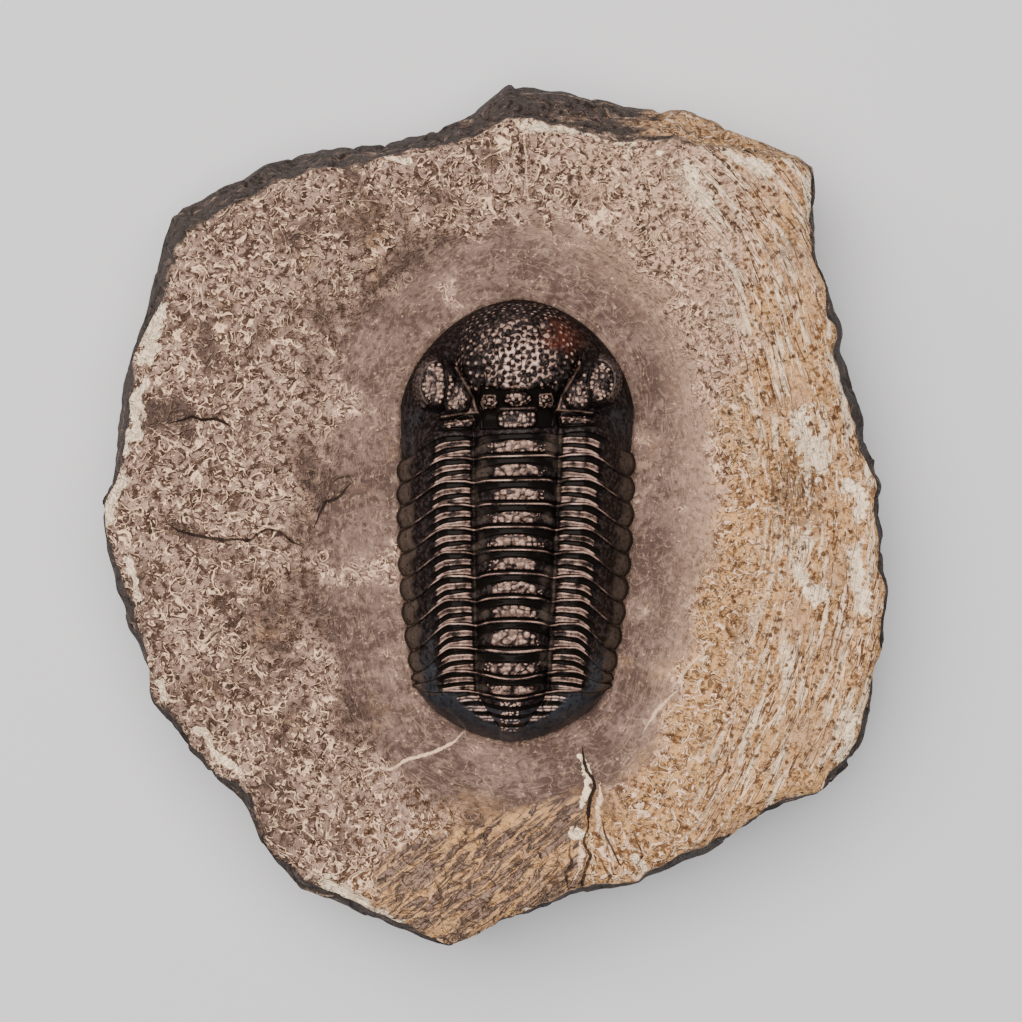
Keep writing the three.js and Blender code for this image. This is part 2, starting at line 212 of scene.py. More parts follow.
def mix(a, b, t):
    """Straight blend from a to b."""
    return a + (b - a) * t


def bell(value, width):
    """1 at zero, falling away on both sides."""
    return np.exp(-(value / width) ** 2)


def shoulder(t, flatness=2.0, roundness=1.0):
    """1 at t = 0, falling over a rounded shoulder to 0 at t = 1 and beyond."""
    return np.maximum(0.0, 1.0 - np.abs(t) ** flatness) ** roundness


def soft_max(a, b, blend):
    """The larger of two heights, rounded where they meet."""
    t = np.clip(0.5 + 0.5 * (a - b) / blend, 0.0, 1.0)
    return mix(b, a, t) + blend * t * (1.0 - t)


def stack(*parts):
    """Points from their coordinates, each an array or a number."""
    return np.stack(np.broadcast_arrays(*parts), -1).astype(float)


def cell_random(cells, seed):
    """A repeatable number from 0 to 1 for each whole-numbered cell."""
    value = np.full(cells.shape[:-1], (seed * 2654435761) % 2 ** 32, np.uint32)
    for axis in range(cells.shape[-1]):
        value = (value ^ cells[..., axis].astype(np.int64).astype(np.uint32)) * np.uint32(2246822519)
        value ^= value >> np.uint32(15)
    value = value * np.uint32(3266489917)
    value ^= value >> np.uint32(13)
    return value.astype(float) / 2 ** 32


def noise(points, size, seed):
    """Smooth random height from -1 to 1: random corner values blended across cells of one size."""
    places = points / size
    cells = np.floor(places)
    share = smooth(0.0, 1.0, places - cells)
    total = 0.0
    for corner in itertools.product((0, 1), repeat=points.shape[-1]):
        weight = np.prod(np.where(corner, share, 1.0 - share), axis=-1)
        total = total + weight * cell_random(cells + corner, seed)
    return 2.0 * total - 1.0


def fractal(points, size, octaves, seed):
    """Noise of one size, with finer and weaker noise on top."""
    return sum(noise(points, size / 2 ** i, seed + i) / 2 ** i for i in range(octaves))


def warped(points, reach, size, seed):
    """Points pushed about in every direction by smooth noise."""
    pushes = [noise(points, size, seed + axis) for axis in range(points.shape[-1])]
    return points + reach * stack(*pushes)


def ridges(points, size, seed):
    """Winding ridges: 1 along the lines where smooth noise crosses zero, less beside them."""
    moved = warped(points, 0.45 * size, 0.8 * size, seed + 7)
    return 1.0 - np.minimum(1.0, 2.6 * np.abs(noise(moved, size, seed)))


def nearest_cells(points, size, seed):
    """Distance to the nearest and the next of points scattered one to a cell, in cell widths, and
    a random number of the nearest."""
    places = points / size
    cells = np.floor(places)
    first = np.full(points.shape[:-1], 9.0)
    second, number = first.copy(), np.zeros_like(first)
    for offset in itertools.product((-1, 0, 1), repeat=points.shape[-1]):
        cell = cells + offset
        spot = stack(*(cell_random(cell, seed + axis) for axis in range(points.shape[-1])))
        distance = np.linalg.norm(cell + 0.1 + 0.8 * spot - places, axis=-1)
        nearer = distance < first
        second = np.where(nearer, first, np.minimum(second, distance))
        number = np.where(nearer, cell_random(cell, seed + 5), number)
        first = np.where(nearer, distance, first)
    return first, second, number


def granules(points, size, seed):
    """Low domes from 0 to 1, one to a cell, with flat ground between."""
    first, _, number = nearest_cells(points, size, seed)
    return shoulder(first / mix(0.34, 0.5, number), 2.0, 1.3)


def mound(x, y, centre, size):
    """A rounded mound in plan, 1 at its middle."""
    return shoulder(np.hypot((x - centre[0]) / size[0], (y - centre[1]) / size[1]))


def line_distance(points, line):
    """Signed distance of points in plan from an open line, and how far inside its ends they are."""
    line = np.array(line, float)
    best = np.full(points.shape[:-1], 1e9)
    signed = best.copy()
    for start, end in zip(line[:-1], line[1:]):
        along, offset = end - start, points - start
        share = (offset @ along) / np.hypot(*along) ** 2
        distance = np.hypot(*np.moveaxis(offset - np.clip(share, 0, 1)[..., None] * along, -1, 0))
        side = np.sign(along[0] * offset[..., 1] - along[1] * offset[..., 0])
        nearer = distance < best
        signed = np.where(nearer, side * distance, signed)
        best = np.where(nearer, distance, best)
    return signed, np.minimum(*(np.linalg.norm(points - end, axis=-1) for end in line[[0, -1]]))


def even_rows(points, count):
    """The same curves, each with its points spaced evenly along its own length."""
    steps = np.linalg.norm(np.diff(points, axis=1), axis=2)
    length = np.concatenate([np.zeros((len(points), 1)), np.cumsum(steps, axis=1)], axis=1)
    length /= length[:, -1:]
    row = 2.0 * np.arange(len(points))[:, None]
    wanted = (row + np.linspace(0.0, 1.0, count)).ravel()
    found = [np.interp(wanted, (row + length).ravel(), points[..., axis].ravel()) for axis in range(3)]
    return np.stack(found, -1).reshape(len(points), count, 3)


def grid_normals(points):
    """Upward unit normals of an open grid of points: cross products of its two directions."""
    normals = np.cross(*(np.gradient(points, axis=axis) for axis in (0, 1)))
    normals /= np.linalg.norm(normals, axis=2, keepdims=True) + 1e-12
    return normals * np.where(normals[..., 2:] < 0, -1.0, 1.0)


def tube(loops):
    """Vertices and faces of a closed skin: rows of closed loops, with each end drawn to a point."""
    rows, size = loops.shape[:2]
    index = np.arange(rows * size).reshape(rows, size)
    beside = np.roll(index, -1, axis=1)
    quads = np.stack([index[:-1], index[1:], beside[1:], beside[:-1]], -1).reshape(-1, 4)
    poles = loops[[0, -1]].mean(axis=1)
    first = np.stack([np.full(size, rows * size), index[0], beside[0]], -1)
    last = np.stack([np.full(size, rows * size + 1), beside[-1], index[-1]], -1)
    return np.concatenate([loops.reshape(-1, 3), poles]), quads, np.concatenate([first, last])


def spread(values, loops):
    """One value for each vertex of a tube: the loops' own, then the two end points'."""
    values = np.broadcast_to(values, loops.shape[:2])
    return np.concatenate([values.ravel(), values[[0, -1]].mean(axis=1)])


def section_masks(masks, rows, **hidden):
    """The masks carried on round each section's hidden faces, where they are 0 unless given."""
    return {name: np.concatenate([values, hidden.get(name, 0.0) + np.zeros((len(values), rows))], 1)
            for name, values in masks.items()}


def new_piece(name, parts, masks):
    """A smooth closed object from tubes, turned outwards, with one attribute for each mask."""
    points, faces, start = [], [], 0
    for vertices, quads, triangles in parts:
        volume = 0.0
        for corners in (triangles, quads[:, [0, 1, 2]], quads[:, [0, 2, 3]]):
            a, b, c = np.moveaxis(vertices[corners], 1, 0)
            volume += np.einsum("ij,ij->i", a, np.cross(b, c)).sum()
        order = 1 if volume > 0 else -1
        faces += [quads[:, ::order] + start, triangles[:, ::order] + start]
        points.append(vertices)
        start += len(vertices)
    points = np.concatenate(points) * MM
    corners = np.concatenate([face.ravel() for face in faces])
    sizes = np.concatenate([np.full(len(face), face.shape[1]) for face in faces])
    mesh = bpy.data.meshes.new(name)
    mesh.vertices.add(len(points))
    mesh.vertices.foreach_set("co", points.astype(np.float32).ravel())
    mesh.loops.add(len(corners))
    mesh.loops.foreach_set("vertex_index", corners.astype(np.int32))
    mesh.polygons.add(len(sizes))
    starts = np.concatenate([[0], np.cumsum(sizes)[:-1]])
    mesh.polygons.foreach_set("loop_start", starts.astype(np.int32))
    mesh.polygons.foreach_set("use_smooth", np.ones(len(sizes), bool))
    mesh.update(calc_edges=True)
    for mask, values in masks.items():
        kind, key = ("FLOAT", "value") if values.ndim == 1 else ("FLOAT_VECTOR", "vector")
        attribute = mesh.attributes.new(mask, kind, "POINT")
        attribute.data.foreach_set(key, values.astype(np.float32).ravel())
    piece = bpy.data.objects.new(name, mesh)
    bpy.context.scene.collection.objects.link(piece)
    return piece


def in_place(points):
    """From the animal's own frame to the slab's: turned a degree and moved to its place."""
    x, y, z = np.moveaxis(points, -1, 0)
    sine, cosine = math.sin(TURN), math.cos(TURN)
    return stack(x * cosine - y * sine, x * sine + y * cosine, z) + ANIMAL


# ---- The body's lines -----------------------------------------------------------------------

def body_half_width(y):
    """Half width of the thorax in plan, narrowing towards the tail."""
    return THORAX["half_width"] - THORAX["taper"] * np.maximum(0.0, (-y - 4.0) / 26.0) ** 2.4


def body_sizes(k):
    """Heights and widths of the body at line k, where line 0 is the back of the head."""
    k = np.asarray(k, float)
    share = np.maximum(k, 0.0) / THORAX["segments"]
    full = np.minimum(k, THORAX["segments"] - 1)
    crown = THORAX["crown"] - THORAX["crown_drop"] * share ** 2.4
    level = THORAX["start"] - THORAX["pitch"] * full - THORAX["last_pitch"] * (k - full)
    sweep = (THORAX["sweep"] + THORAX["sweep_gain"] * k) * smooth(11.3, 8.5, k)
    return {
        "crown": crown,
        "furrow": crown - THORAX["furrow"],
        "axis": THORAX["axis"] - THORAX["axis_taper"] * share ** 1.5,
        "fulcrum": THORAX["fulcrum"] - THORAX["fulcrum_taper"] * share ** 2,
        "level": level,
        "sweep": sweep,
        "lag": THORAX["ring_lag"] * smooth(8.2, 9.4, k) - THORAX["ring_lead"] * smooth(2.0, 6.0, k),
        "lean": LEAN["body"] + LEAN["head"] * smooth(LEAN["last_segment"], 0.0, k),
        "margin": body_half_width(level - sweep),
    }


def line_y(x, body):
    """How far forward a line lies at x: level, less its lag on the axis, a dip in the axial furrow
    and its sweep outside the fulcrum, plus its lean."""
    across = np.abs(x)
    lag = body["lag"] * shoulder(across / body["axis"])
    dip = 0.22 * bell(across - body["axis"], 0.8)
    sweep = body["sweep"] * smooth(body["fulcrum"] - 1.2, body["margin"], across)
    return body["level"] - lag - dip - sweep + body["lean"] * x


def body_z(x, body):
    """Height of the plates' envelope: a domed axis, a furrow, a level pleura and a falling flank."""
    across = np.abs(x)
    axis, fulcrum = body["axis"], body["fulcrum"]
    axial = body["crown"] - 1.2 * (across / (0.85 * axis)) ** 2.4
    rise = 0.25 * smooth(axis + 0.3, axis + 1.7, across)
    inner = body["furrow"] + rise - 0.5 * smooth(fulcrum - 1.6, fulcrum + 0.2, across)
    flank = np.clip((across - fulcrum) / (body["margin"] - fulcrum), 0.0, 1.0)
    pleura = mix(MARGIN_HEIGHT, inner, shoulder(flank, 1.5, 0.8))
    whole = mix(axial, pleura, smooth(axis - 0.25, axis + 0.35, across))
    return whole - 0.45 * bell(across - axis - 0.12, 0.36)


def even_across(body, columns):
    """Places across the body from one margin to the other, spaced evenly along its arched section."""
    fine = np.linspace(-1.0, 1.0, FINE_ACROSS) * body["margin"]
    return even_rows(stack(fine, 0.0, body_z(fine, body))[None], columns)[0, :, :1]


# ---- The thorax -----------------------------------------------------------------------------

def pleural_bands(inner):
    """Where the two bands of a pleura start and end, front to back, from the axis to the fulcrum."""
    return [[mix(*ends, inner) for ends in band] for band in (
        ((0.18, 0.30), (0.40, 0.56)), ((0.56, 0.80), (0.84, 0.90)))]


def pleural_relief(v, inner):
    """Height across a pleura, v running from its front edge to its back: a low front, two bands
    with the slanting pleural furrow between them, a trough and the raised back rim."""
    (start, front), (rear, back) = pleural_bands(inner)
    height = -0.34 + 0.34 * smooth(start - 0.04, start + 0.02, v)
    height = height - 0.36 * smooth(front - 0.02, front + 0.04, v)
    height = height + 0.38 * smooth(rear - 0.04, rear + 0.02, v)
    height = height - 0.30 * smooth(back - 0.02, back + 0.02, v)
    return height - 0.08 * bell(v - mix(start, front, 0.5), 0.05) * smooth(0.1, 0.35, inner)


def band_highlights(v, inner):
    """Painted highlight on the bands' crests: brightest along their two edges, duller between."""
    tone = 0.0
    for low, high in pleural_bands(inner):
        band = window(v, low - 0.02, low + 0.015, high - 0.015, high + 0.02)
        middle = window(v, low + 0.035, low + 0.075, high - 0.075, high - 0.035)
        tone = tone + band * (1.0 - 0.52 * middle)
    return tone


def axial_relief(v, across):
    """Height along the axis: a sunk half ring, the ring's rounded plateau, which starts further
    back at its sides, and a slope down to the back rim."""
    start = 0.22 + 0.22 * across ** 2
    plateau = smooth(start, start + 0.09, v) - smooth(0.72, 0.86, v)
    return -0.42 + 0.42 * plateau + 0.10 * shoulder((v - 0.52) / 0.32)


def segment_loops(k, sizes):
    """One thoracic plate as closed sections from tip to tip, and its masks. Each section runs over
    the ornamented top from v = 0 to 1, round the thin back rim, under it and along the underside."""
    columns, rows = SEGMENT_GRID
    middle = body_sizes(k - 0.5)
    share = even_across(middle, columns) / middle["margin"]
    end = np.abs(share)
    tip = smooth(0.82, 0.97, end)
    v = mix(mix(-0.09, 0.045, tip), mix(1.0, 0.955, tip), np.linspace(0.0, 1.0, rows))
    body = body_sizes(k - 1.0 + v)
    axis = body["axis"]
    x = share * body["margin"]
    y = line_y(x, body)
    plan = stack(x, y)
    across = np.abs(x)
    inner = np.clip((across - axis) / (body["fulcrum"] - axis), 0.0, 1.0)
    flank = np.clip((across - body["fulcrum"]) / (body["margin"] - body["fulcrum"]), 0.0, 1.0)
    on_pleura = smooth(axis - 0.15, axis + 0.35, across)
    on_flank = smooth(0.02, 0.40, flank)

    bands = mix(axial_relief(v, across / axis), pleural_relief(v, inner), on_pleura)
    bands = mix(bands, -0.14, on_flank)
    line = smooth(0.895, 0.925, v)
    rim = 0.36 * line * (1.0 - 0.6 * smooth(0.55, 0.9, flank))
    tucked = -0.40 * smooth(0.05, -0.06, v)
    hat = 0.5 + 1.9 * smooth(0.18, 0.50, v)
    ring = window(v, 0.24, 0.34, 0.72, 0.82) * (1.0 - on_pleura) * smooth(hat + 0.25, hat - 0.2, across)
    band = on_pleura * (1.0 - on_flank) * smooth(-0.25, -0.1, bands)
    ring_spots = granules(plan, 0.62, 31 + k)
    side_spots = granules(plan, 0.42, 91 + k) * (1.0 - on_pleura) * window(v, 0.3, 0.4, 0.78, 0.84)
    side_spots *= smooth(3.6, 3.0, across) * (1.0 - ring) * smooth(0.0, 0.2, noise(plan, 0.9, 7 * k))
    grains = 0.20 * ring * ring_spots + 0.10 * side_spots
    grains += 0.05 * band * granules(plan * (0.45, 1.0), 0.32, 57 + k)
    wear = 0.03 * fractal(stack(x, y, 0.0), 1.6, 3, 5 * k)
    height = sizes.rib_relief / RIB_RELIEF * (bands + rim + tucked + grains + wear)

    base = body_z(x, body)
    z = np.maximum(0.5 * MARGIN_HEIGHT, base + height * smooth(0.0, 4.0, base))
    bulge = THORAX["tip_bulge"] * smooth(0.8, 1.0, end) * shoulder(2.0 * v - 1.0)
    top = stack(x + np.sign(x) * bulge, y, z)
    room = smooth(0.0, 4.0, z[:, -1:])
    back, down = np.array([(0.05, 0.05), (0.08, 0.14), (0.07, 0.26), (0.0, 0.36), (-0.18, 0.46)]).T
    edge = np.repeat(top[:, -1:], 5, axis=1)
    edge[..., 1] -= back * room
    edge[..., 2] -= down * room
    under = top[:, [-1, 0]].copy()
    under[..., 1] += (0.25, -0.12)
    under[..., 2] = 0.0

    # Painted highlight, partly rubbed wear: pale band edges, back rims and granules on the ring tops.
    squiggle = 1.0 - 0.75 * bell(noise(plan, 0.75, 80 + k), 0.16)
    bars = smooth(0.35, 0.65, across - axis) * smooth(0.10, -0.04, flank + 0.06 * noise(plan, 0.7, k))
    bars *= band_highlights(v, inner) * mix(squiggle, 1.0, 0.55)
    crest = line * smooth(1.0, 0.95, v) * smooth(0.80, 0.45, flank) * (1.0 - 0.35 * on_flank)
    crest *= 1.0 - smooth(8.0, 11.0, k) * smooth(0.0, 0.3, flank)
    crest *= (0.80 + 0.55 * noise(plan, 1.1, 170 + k)) * (1.0 - 0.55 * bell(across - axis + 0.3, 0.5))
    tops = ring * squiggle * mix(0.45, 1.0, smooth(0.04, 0.30, ring_spots))
    tops = tops * (1.0 - 0.4 * smooth(0.8, 1.0, ring_spots)) + 0.8 * smooth(0.45, 0.7, side_spots)
    worn = np.maximum(np.maximum(bars, 0.85 * crest), np.minimum(1.0, tops))
    beside = smooth(1.9, 3.9, across + 0.4 * noise(plan, 1.0, 8)) * smooth(axis + 0.7, axis + 0.1, across)
    beside *= mix(0.56, 0.76, smooth(-1.0, 1.0, x)) * (1.0 - line) * smooth(-0.5, 0.4, noise(plan, 1.2, 9))
    # Painted shadow along the tips' outline and where the plates overlap on the flank.
    outline = smooth(0.96, 0.985, end) + smooth(0.88, 0.97, v) * (k < THORAX["segments"])
    outline = np.minimum(1.0, outline + smooth(0.14, 0.06, v)) * smooth(0.5, 0.8, flank)
    # Painted shade in the sunk troughs and furrows, lighter beside the axis.
    sunk = smooth(0.10, 0.26, -(bands + rim)) * (1.0 - on_flank)
    steep = smooth(0.90, 0.60, grid_normals(stack(top[..., 0], y, base))[..., 2])
    masks = section_masks({
        "recess": np.maximum(sunk * (1.0 - 0.8 * beside), 0.8 * outline) * (1.0 - worn),
        "dull": np.maximum(0.95 * smooth(1.0, 0.45, worn) * (1.0 - 0.4 * on_flank), 0.9 * steep),
        "tip": np.maximum(smooth(0.50, 0.80, flank + 0.1 * noise(plan, 1.5, 6)), beside),
        "cool": mix(0.2, 0.9, smooth(7.0, 11.0, k)) * on_flank,
        "worn": worn,
    }, 7, dull=1.0, tip=tip)
    return np.concatenate([top, edge, under], axis=1), masks


# ---- The head -------------------------------------------------------------------------------

def head_height(x, y):
    """Height of the head in plan: a domed shield, the swollen glabella and the two eye mounds."""
    across = np.abs(x)
    ahead = np.maximum(0.0, (y - HEAD["centre"]) / HEAD["length"])
    power = HEAD["power"]
    level = ((across / HEAD["half_width"]) ** power + ahead ** power) ** (1.0 / power)
    shield = mix(MARGIN_HEIGHT, HEAD["shield"], shoulder(level, 2.2, 0.6))
    reach = glabella_reach(x, y)
    root = mix(GLABELLA["root"], 1.0, smooth(4.0, 12.0, y))
    glabella = np.where(reach < 1.0, mix(root, GLABELLA["top"], shoulder(reach, 3.0, 0.46)), 0.0)
    height = soft_max(shield, glabella, 0.35)
    for lobe in (CHEEK, EYE):
        away = np.hypot((across - lobe["x"]) / lobe["half_width"], (y - lobe["y"]) / lobe["length"])
        height = soft_max(height, lobe["top"] * shoulder(away, 6.0, 0.35), 0.3)
    return height


def glabella_reach(x, y):
    """0 at the middle of the glabella and 1 at its outline."""
    forward = np.maximum(0.0, (y - GLABELLA["centre"]) / GLABELLA["front"])
    behind = np.maximum(0.0, (GLABELLA["centre"] - y) / GLABELLA["back"])
    width = GLABELLA["half_width"] - GLABELLA["taper"] * np.minimum(1.2, behind)
    return ((np.abs(x) / width) ** 2.5 + forward ** 2.3 + behind ** 5) ** (1 / 2.5)


def head_relief(x, y):
    """Furrows and lobes of the head: the axial furrow with a thin ridge outside it, the lobe and
    nodes behind the glabella, the occipital ring and furrow, the back border and eye furrows."""
    across = np.abs(x)
    axial, ridge, lobe, border = (line_distance(stack(across, y), line)[0] for line in (
        [(6.7, 8.0), (6.0, 6.2), (4.50, 3.9), (4.15, 2.2), (4.6, 0.9)], AXIAL_RIDGE,
        [(8.3, 7.9), (7.75, 5.2), (8.3, 2.5)], [(4.2, 2.3), (8.6, 1.85)]))
    middle = smooth(4.3, 3.9, across)
    outside = window(across, 4.5, 4.9, 8.4, 9.4)
    behind = smooth(2.25, 2.45, y) * smooth(4.75, 4.35, y - 0.05 * across ** 2)
    nodes = mound(across, y, **NODE) ** 0.6
    centre = mound(x, y, **MIDDLE_LOBE) ** 0.6
    occipital = 1.0 - (across / OCCIPITAL["half_width"]) ** 4
    occipital = smooth(0.0, 0.5, occipital - ((y - OCCIPITAL["y"]) / OCCIPITAL["half_length"]) ** 4)
    bar = window(y, 0.5, 0.72, 1.3, 1.55) * outside
    height = -0.8 * bell(axial, 0.36) + 0.30 * bell(ridge, 0.15) - 0.36 * bell(lobe, 0.18)
    height = height + 0.25 * bell(border, 0.12) * window(across, 4.2, 4.6, 8.2, 8.8)
    height = height - middle * behind * (0.9 - 1.05 * nodes - 1.0 * centre)
    height = height - 0.75 * middle * window(y, 0.15, 0.4, 2.25, 2.45) * (1.0 - occipital)
    return height - 0.50 * outside * window(y, 0.15, 0.35, 2.0, 2.4) * (1.0 - bar)


def scattered(points, allowed, spacing, tries, size, seed):
    """Domes from 0 to 1 at random places on a surface, each at least its own spacing from all those
    before it, and of a given share of it in radius."""
    random = np.random.default_rng(seed)
    candidates = np.flatnonzero(allowed.ravel())
    order = random.choice(candidates, min(tries, len(candidates)), replace=False)
    flat, gaps = points.reshape(-1, 3), np.broadcast_to(spacing, points.shape[:2]).ravel()
    chosen = []
    for i in order:
        near = np.linalg.norm(flat[chosen] - flat[i], axis=1) if chosen else np.array([9.0])
        if near.min() > gaps[i]:
            chosen.append(i)
    centres, radii = flat[chosen], size * gaps[chosen]
    best = np.zeros(len(flat))
    for batch in np.array_split(np.arange(len(centres)), max(1, len(centres) // 40)):
        low, high = centres[batch].min(0) - 1.0, centres[batch].max(0) + 1.0
        near = np.flatnonzero(((flat > low) & (flat < high)).all(1))
        away = np.linalg.norm(flat[near, None] - centres[batch], axis=2) / radii[batch]
        best[near] = np.maximum(best[near], shoulder(away, 2.2).max(1))
    return best.reshape(points.shape[:2])


def head_loops(sizes):
    """The head as closed sections from side to side, and its masks. Each runs from the back line
    over the top to the front outline, down its edge and back along the underside."""
    columns, rows = HEAD_GRID
    even = np.linspace(-1.0, 1.0, columns)[:, None]
    share = mix(even, np.sin(even * math.pi / 2), 0.6)
    rear_body = body_sizes(np.zeros(1))
    rear_x = share * rear_body["margin"]
    rear_y = line_y(rear_x, rear_body)
    front_x = 0.992 * share * HEAD["half_width"]
    front_y = HEAD["centre"] + LEAN["front"] * front_x + HEAD["length"] * shoulder(
        front_x / HEAD["half_width"], HEAD["power"], 1 / HEAD["power"])

    def unleaned(x, y, t):
        return y - mix(rear_body["lean"], LEAN["front"], t) * x

    t = np.sin(np.linspace(0.0, math.pi / 2, FINE_HEAD))[None]
    x, y = mix(rear_x, front_x, t), mix(rear_y, front_y, t)
    level_y = unleaned(x, y, t)
    on_axis = smooth(5.0, 4.0, np.abs(x))
    joined = mix(body_z(rear_x, rear_body), head_height(x, level_y),
                 smooth(1.5 * on_axis, 3.0 + 2.2 * on_axis, y - rear_y))
    z = joined + head_relief(x, level_y) * smooth(2.0, 6.0, joined)
    edge = shoulder(np.abs(share) ** 40 + t ** 60, 1.0, 0.5)
    carried = even_rows(stack(x, y, mix(MARGIN_HEIGHT, z, edge)), rows)
    x, y = carried[..., 0], carried[..., 1]
    level_y = unleaned(x, y, np.clip((y - rear_y) / np.maximum(1e-6, front_y - rear_y), 0.0, 1.0))
    upward = grid_normals(carried)
    facing = upward[..., 2]
    across = np.abs(x)

    # Tubercles on the glabella, and finer granules on the eye lobes, cheeks, nodes and ring.
    reach = glabella_reach(x, level_y)
    on_glabella = (reach < 0.97) & (level_y > 4.75) & (carried[..., 2] > 2.6)
    spacing = mix(0.56, 0.72, smooth(2.0, 5.0, np.hypot(x, level_y - 7.0)))
    tubercles = scattered(
        carried, on_glabella, spacing * sizes.tubercle_spacing / TUBERCLE_SPACING, 14000, 0.52, 3)
    palpebral = mound(across, level_y, EYE_LOBE["centre"], EYE_LOBE["size"]) > 0
    palpebral &= across > EYE_LOBE["inner"]
    cheek = (across > 5.2) & (across < 7.7) & (level_y > 2.45) & (level_y < 6.2)
    cheek &= across > mix(5.15, 7.1, smooth(2.4, 6.6, level_y))
    side_lobes = (palpebral | cheek) & (facing > 0.75)
    lobes = mound(across, level_y, (3.15, 3.2), (0.8, 0.6)) + mound(x, level_y, (0, 3.5), (1.4, 0.7)) > 0
    ring = (across / 2.0) ** 4 + ((level_y - OCCIPITAL["y"]) / 0.8) ** 4 < 1.0
    bars = (level_y > 0.75) & (level_y < 1.4) & (across > 5.0) & (across < 7.6)
    side_spots = scattered(carried, side_lobes, 0.42, 5000, 0.5, 4)
    spots = np.maximum(side_spots, scattered(carried, lobes | ring | bars, 0.4, 5000, 0.52, 5))
    bumps = np.maximum(sizes.tubercle_height / MM * tubercles, 0.15 * side_spots)
    bumps = np.maximum(bumps, 0.13 * spots) + 0.03 * fractal(carried, 1.8, 3, 11)
    top = carried + upward * (bumps * smooth(1.2, 3.0, carried[..., 2]))[..., None]

    room = smooth(0.0, 4.0, top[:, :1, 2])
    front = top[:, [-1, -1]].copy()
    front[..., 2] = (0.5 * MARGIN_HEIGHT, 0.0)
    rear = np.repeat(top[:, :1], 6, axis=1)
    rear[..., 1] += room * np.array([0.22, 0.18, 0.0, -0.07, -0.08, -0.05])
    rear[:, 1:, 2] -= room * np.array([0.46, 0.36, 0.26, 0.14, 0.05])
    rear[:, 0, 2] = 0.0

    # Painted highlight, partly rubbed wear: the middle of the glabella is pale between its tubercles,
    # and its front on them, and upward-facing lobes and granules are pale too.
    forward = level_y - GLABELLA_HIGHLIGHT["y"]
    half_length = np.where(forward < 0, GLABELLA_HIGHLIGHT["back"], GLABELLA_HIGHLIGHT["front"])
    away = np.hypot(x / GLABELLA_HIGHLIGHT["half_width"], forward / half_length)
    level = smooth(1.05, 0.80, away + 0.15 * noise(carried, 1.3, 83))
    squiggle = 1.0 - 0.85 * bell(noise(carried, 0.62, 81), 0.20)
    holes = smooth(0.16, 0.56, tubercles + 0.22 * noise(carried, 0.9, 84))
    gaps = bell(noise(carried, 0.55, 85), mix(0.12, 0.30, smooth(0.5, 1.0, away)))
    ringed = squiggle * (1.0 - 0.88 * holes) * (1.0 - 0.75 * gaps) * mix(1.0, 0.8, smooth(0.3, 0.8, away))
    dots = smooth(0.55, 0.85, tubercles) * (0.75 + 0.5 * noise(carried, 0.8, 82))
    dots *= mix(0.6, 1.0, smooth(0.3, 0.7, facing))
    patches = 0.42 * smooth(0.86, 0.94, facing) * (side_lobes | lobes | ring | bars)
    patches = np.maximum(patches, smooth(0.04, 0.30, spots)) * squiggle
    worn = np.maximum(mix(dots, ringed * (reach < 0.95), level),
                      0.9 * patches * (1.0 - 0.55 * smooth(0.75, 1.0, spots)))
    # Pale lines along the ridges and borders, partly painted highlight.
    for width, strength, along, line in (
            (0.17, 0.55, across, AXIAL_RIDGE), (0.13, 0.6, across, [(4.4, 2.25), (8.4, 1.9)]),
            (0.12, 0.45, x, [(-1.9, 2.5), (1.9, 2.5)]), (0.12, 0.5, across, [(8.0, 1.0), (4.8, 1.45)]),
            (0.12, 0.5, x, [(1.6, 4.65), (0.0, 4.95), (-1.6, 4.65)]),
            (0.12, 0.6, across, [(2.5, 2.7), (2.5, 3.9), (3.7, 4.0), (4.0, 3.2), (3.7, 2.6)])):
        away, _ = line_distance(stack(along, level_y), line)
        worn = np.maximum(worn, strength * bell(away, width))
    genal = smooth(9.0, 11.0, across) * smooth(6.0, 2.0, level_y)
    masks = section_masks({
        # Painted shade in the head's furrows, kept off its pale parts.
        "recess": smooth(0.15, 0.5, -head_relief(x, level_y)) * (1.0 - worn),
        "dull": np.maximum(0.92 * smooth(1.0, 0.45, worn), 0.6 * smooth(0.80, 0.50, facing)),
        "worn": worn,
        "tip": 0.2 * genal,
        "cool": 0.5 * genal,
        "rust": bell(np.hypot(x - RUST["x"], 1.1 * (level_y - RUST["y"])), RUST["reach"]),
    }, 8, dull=1.0)
    return np.concatenate([top, front, rear], axis=1), masks


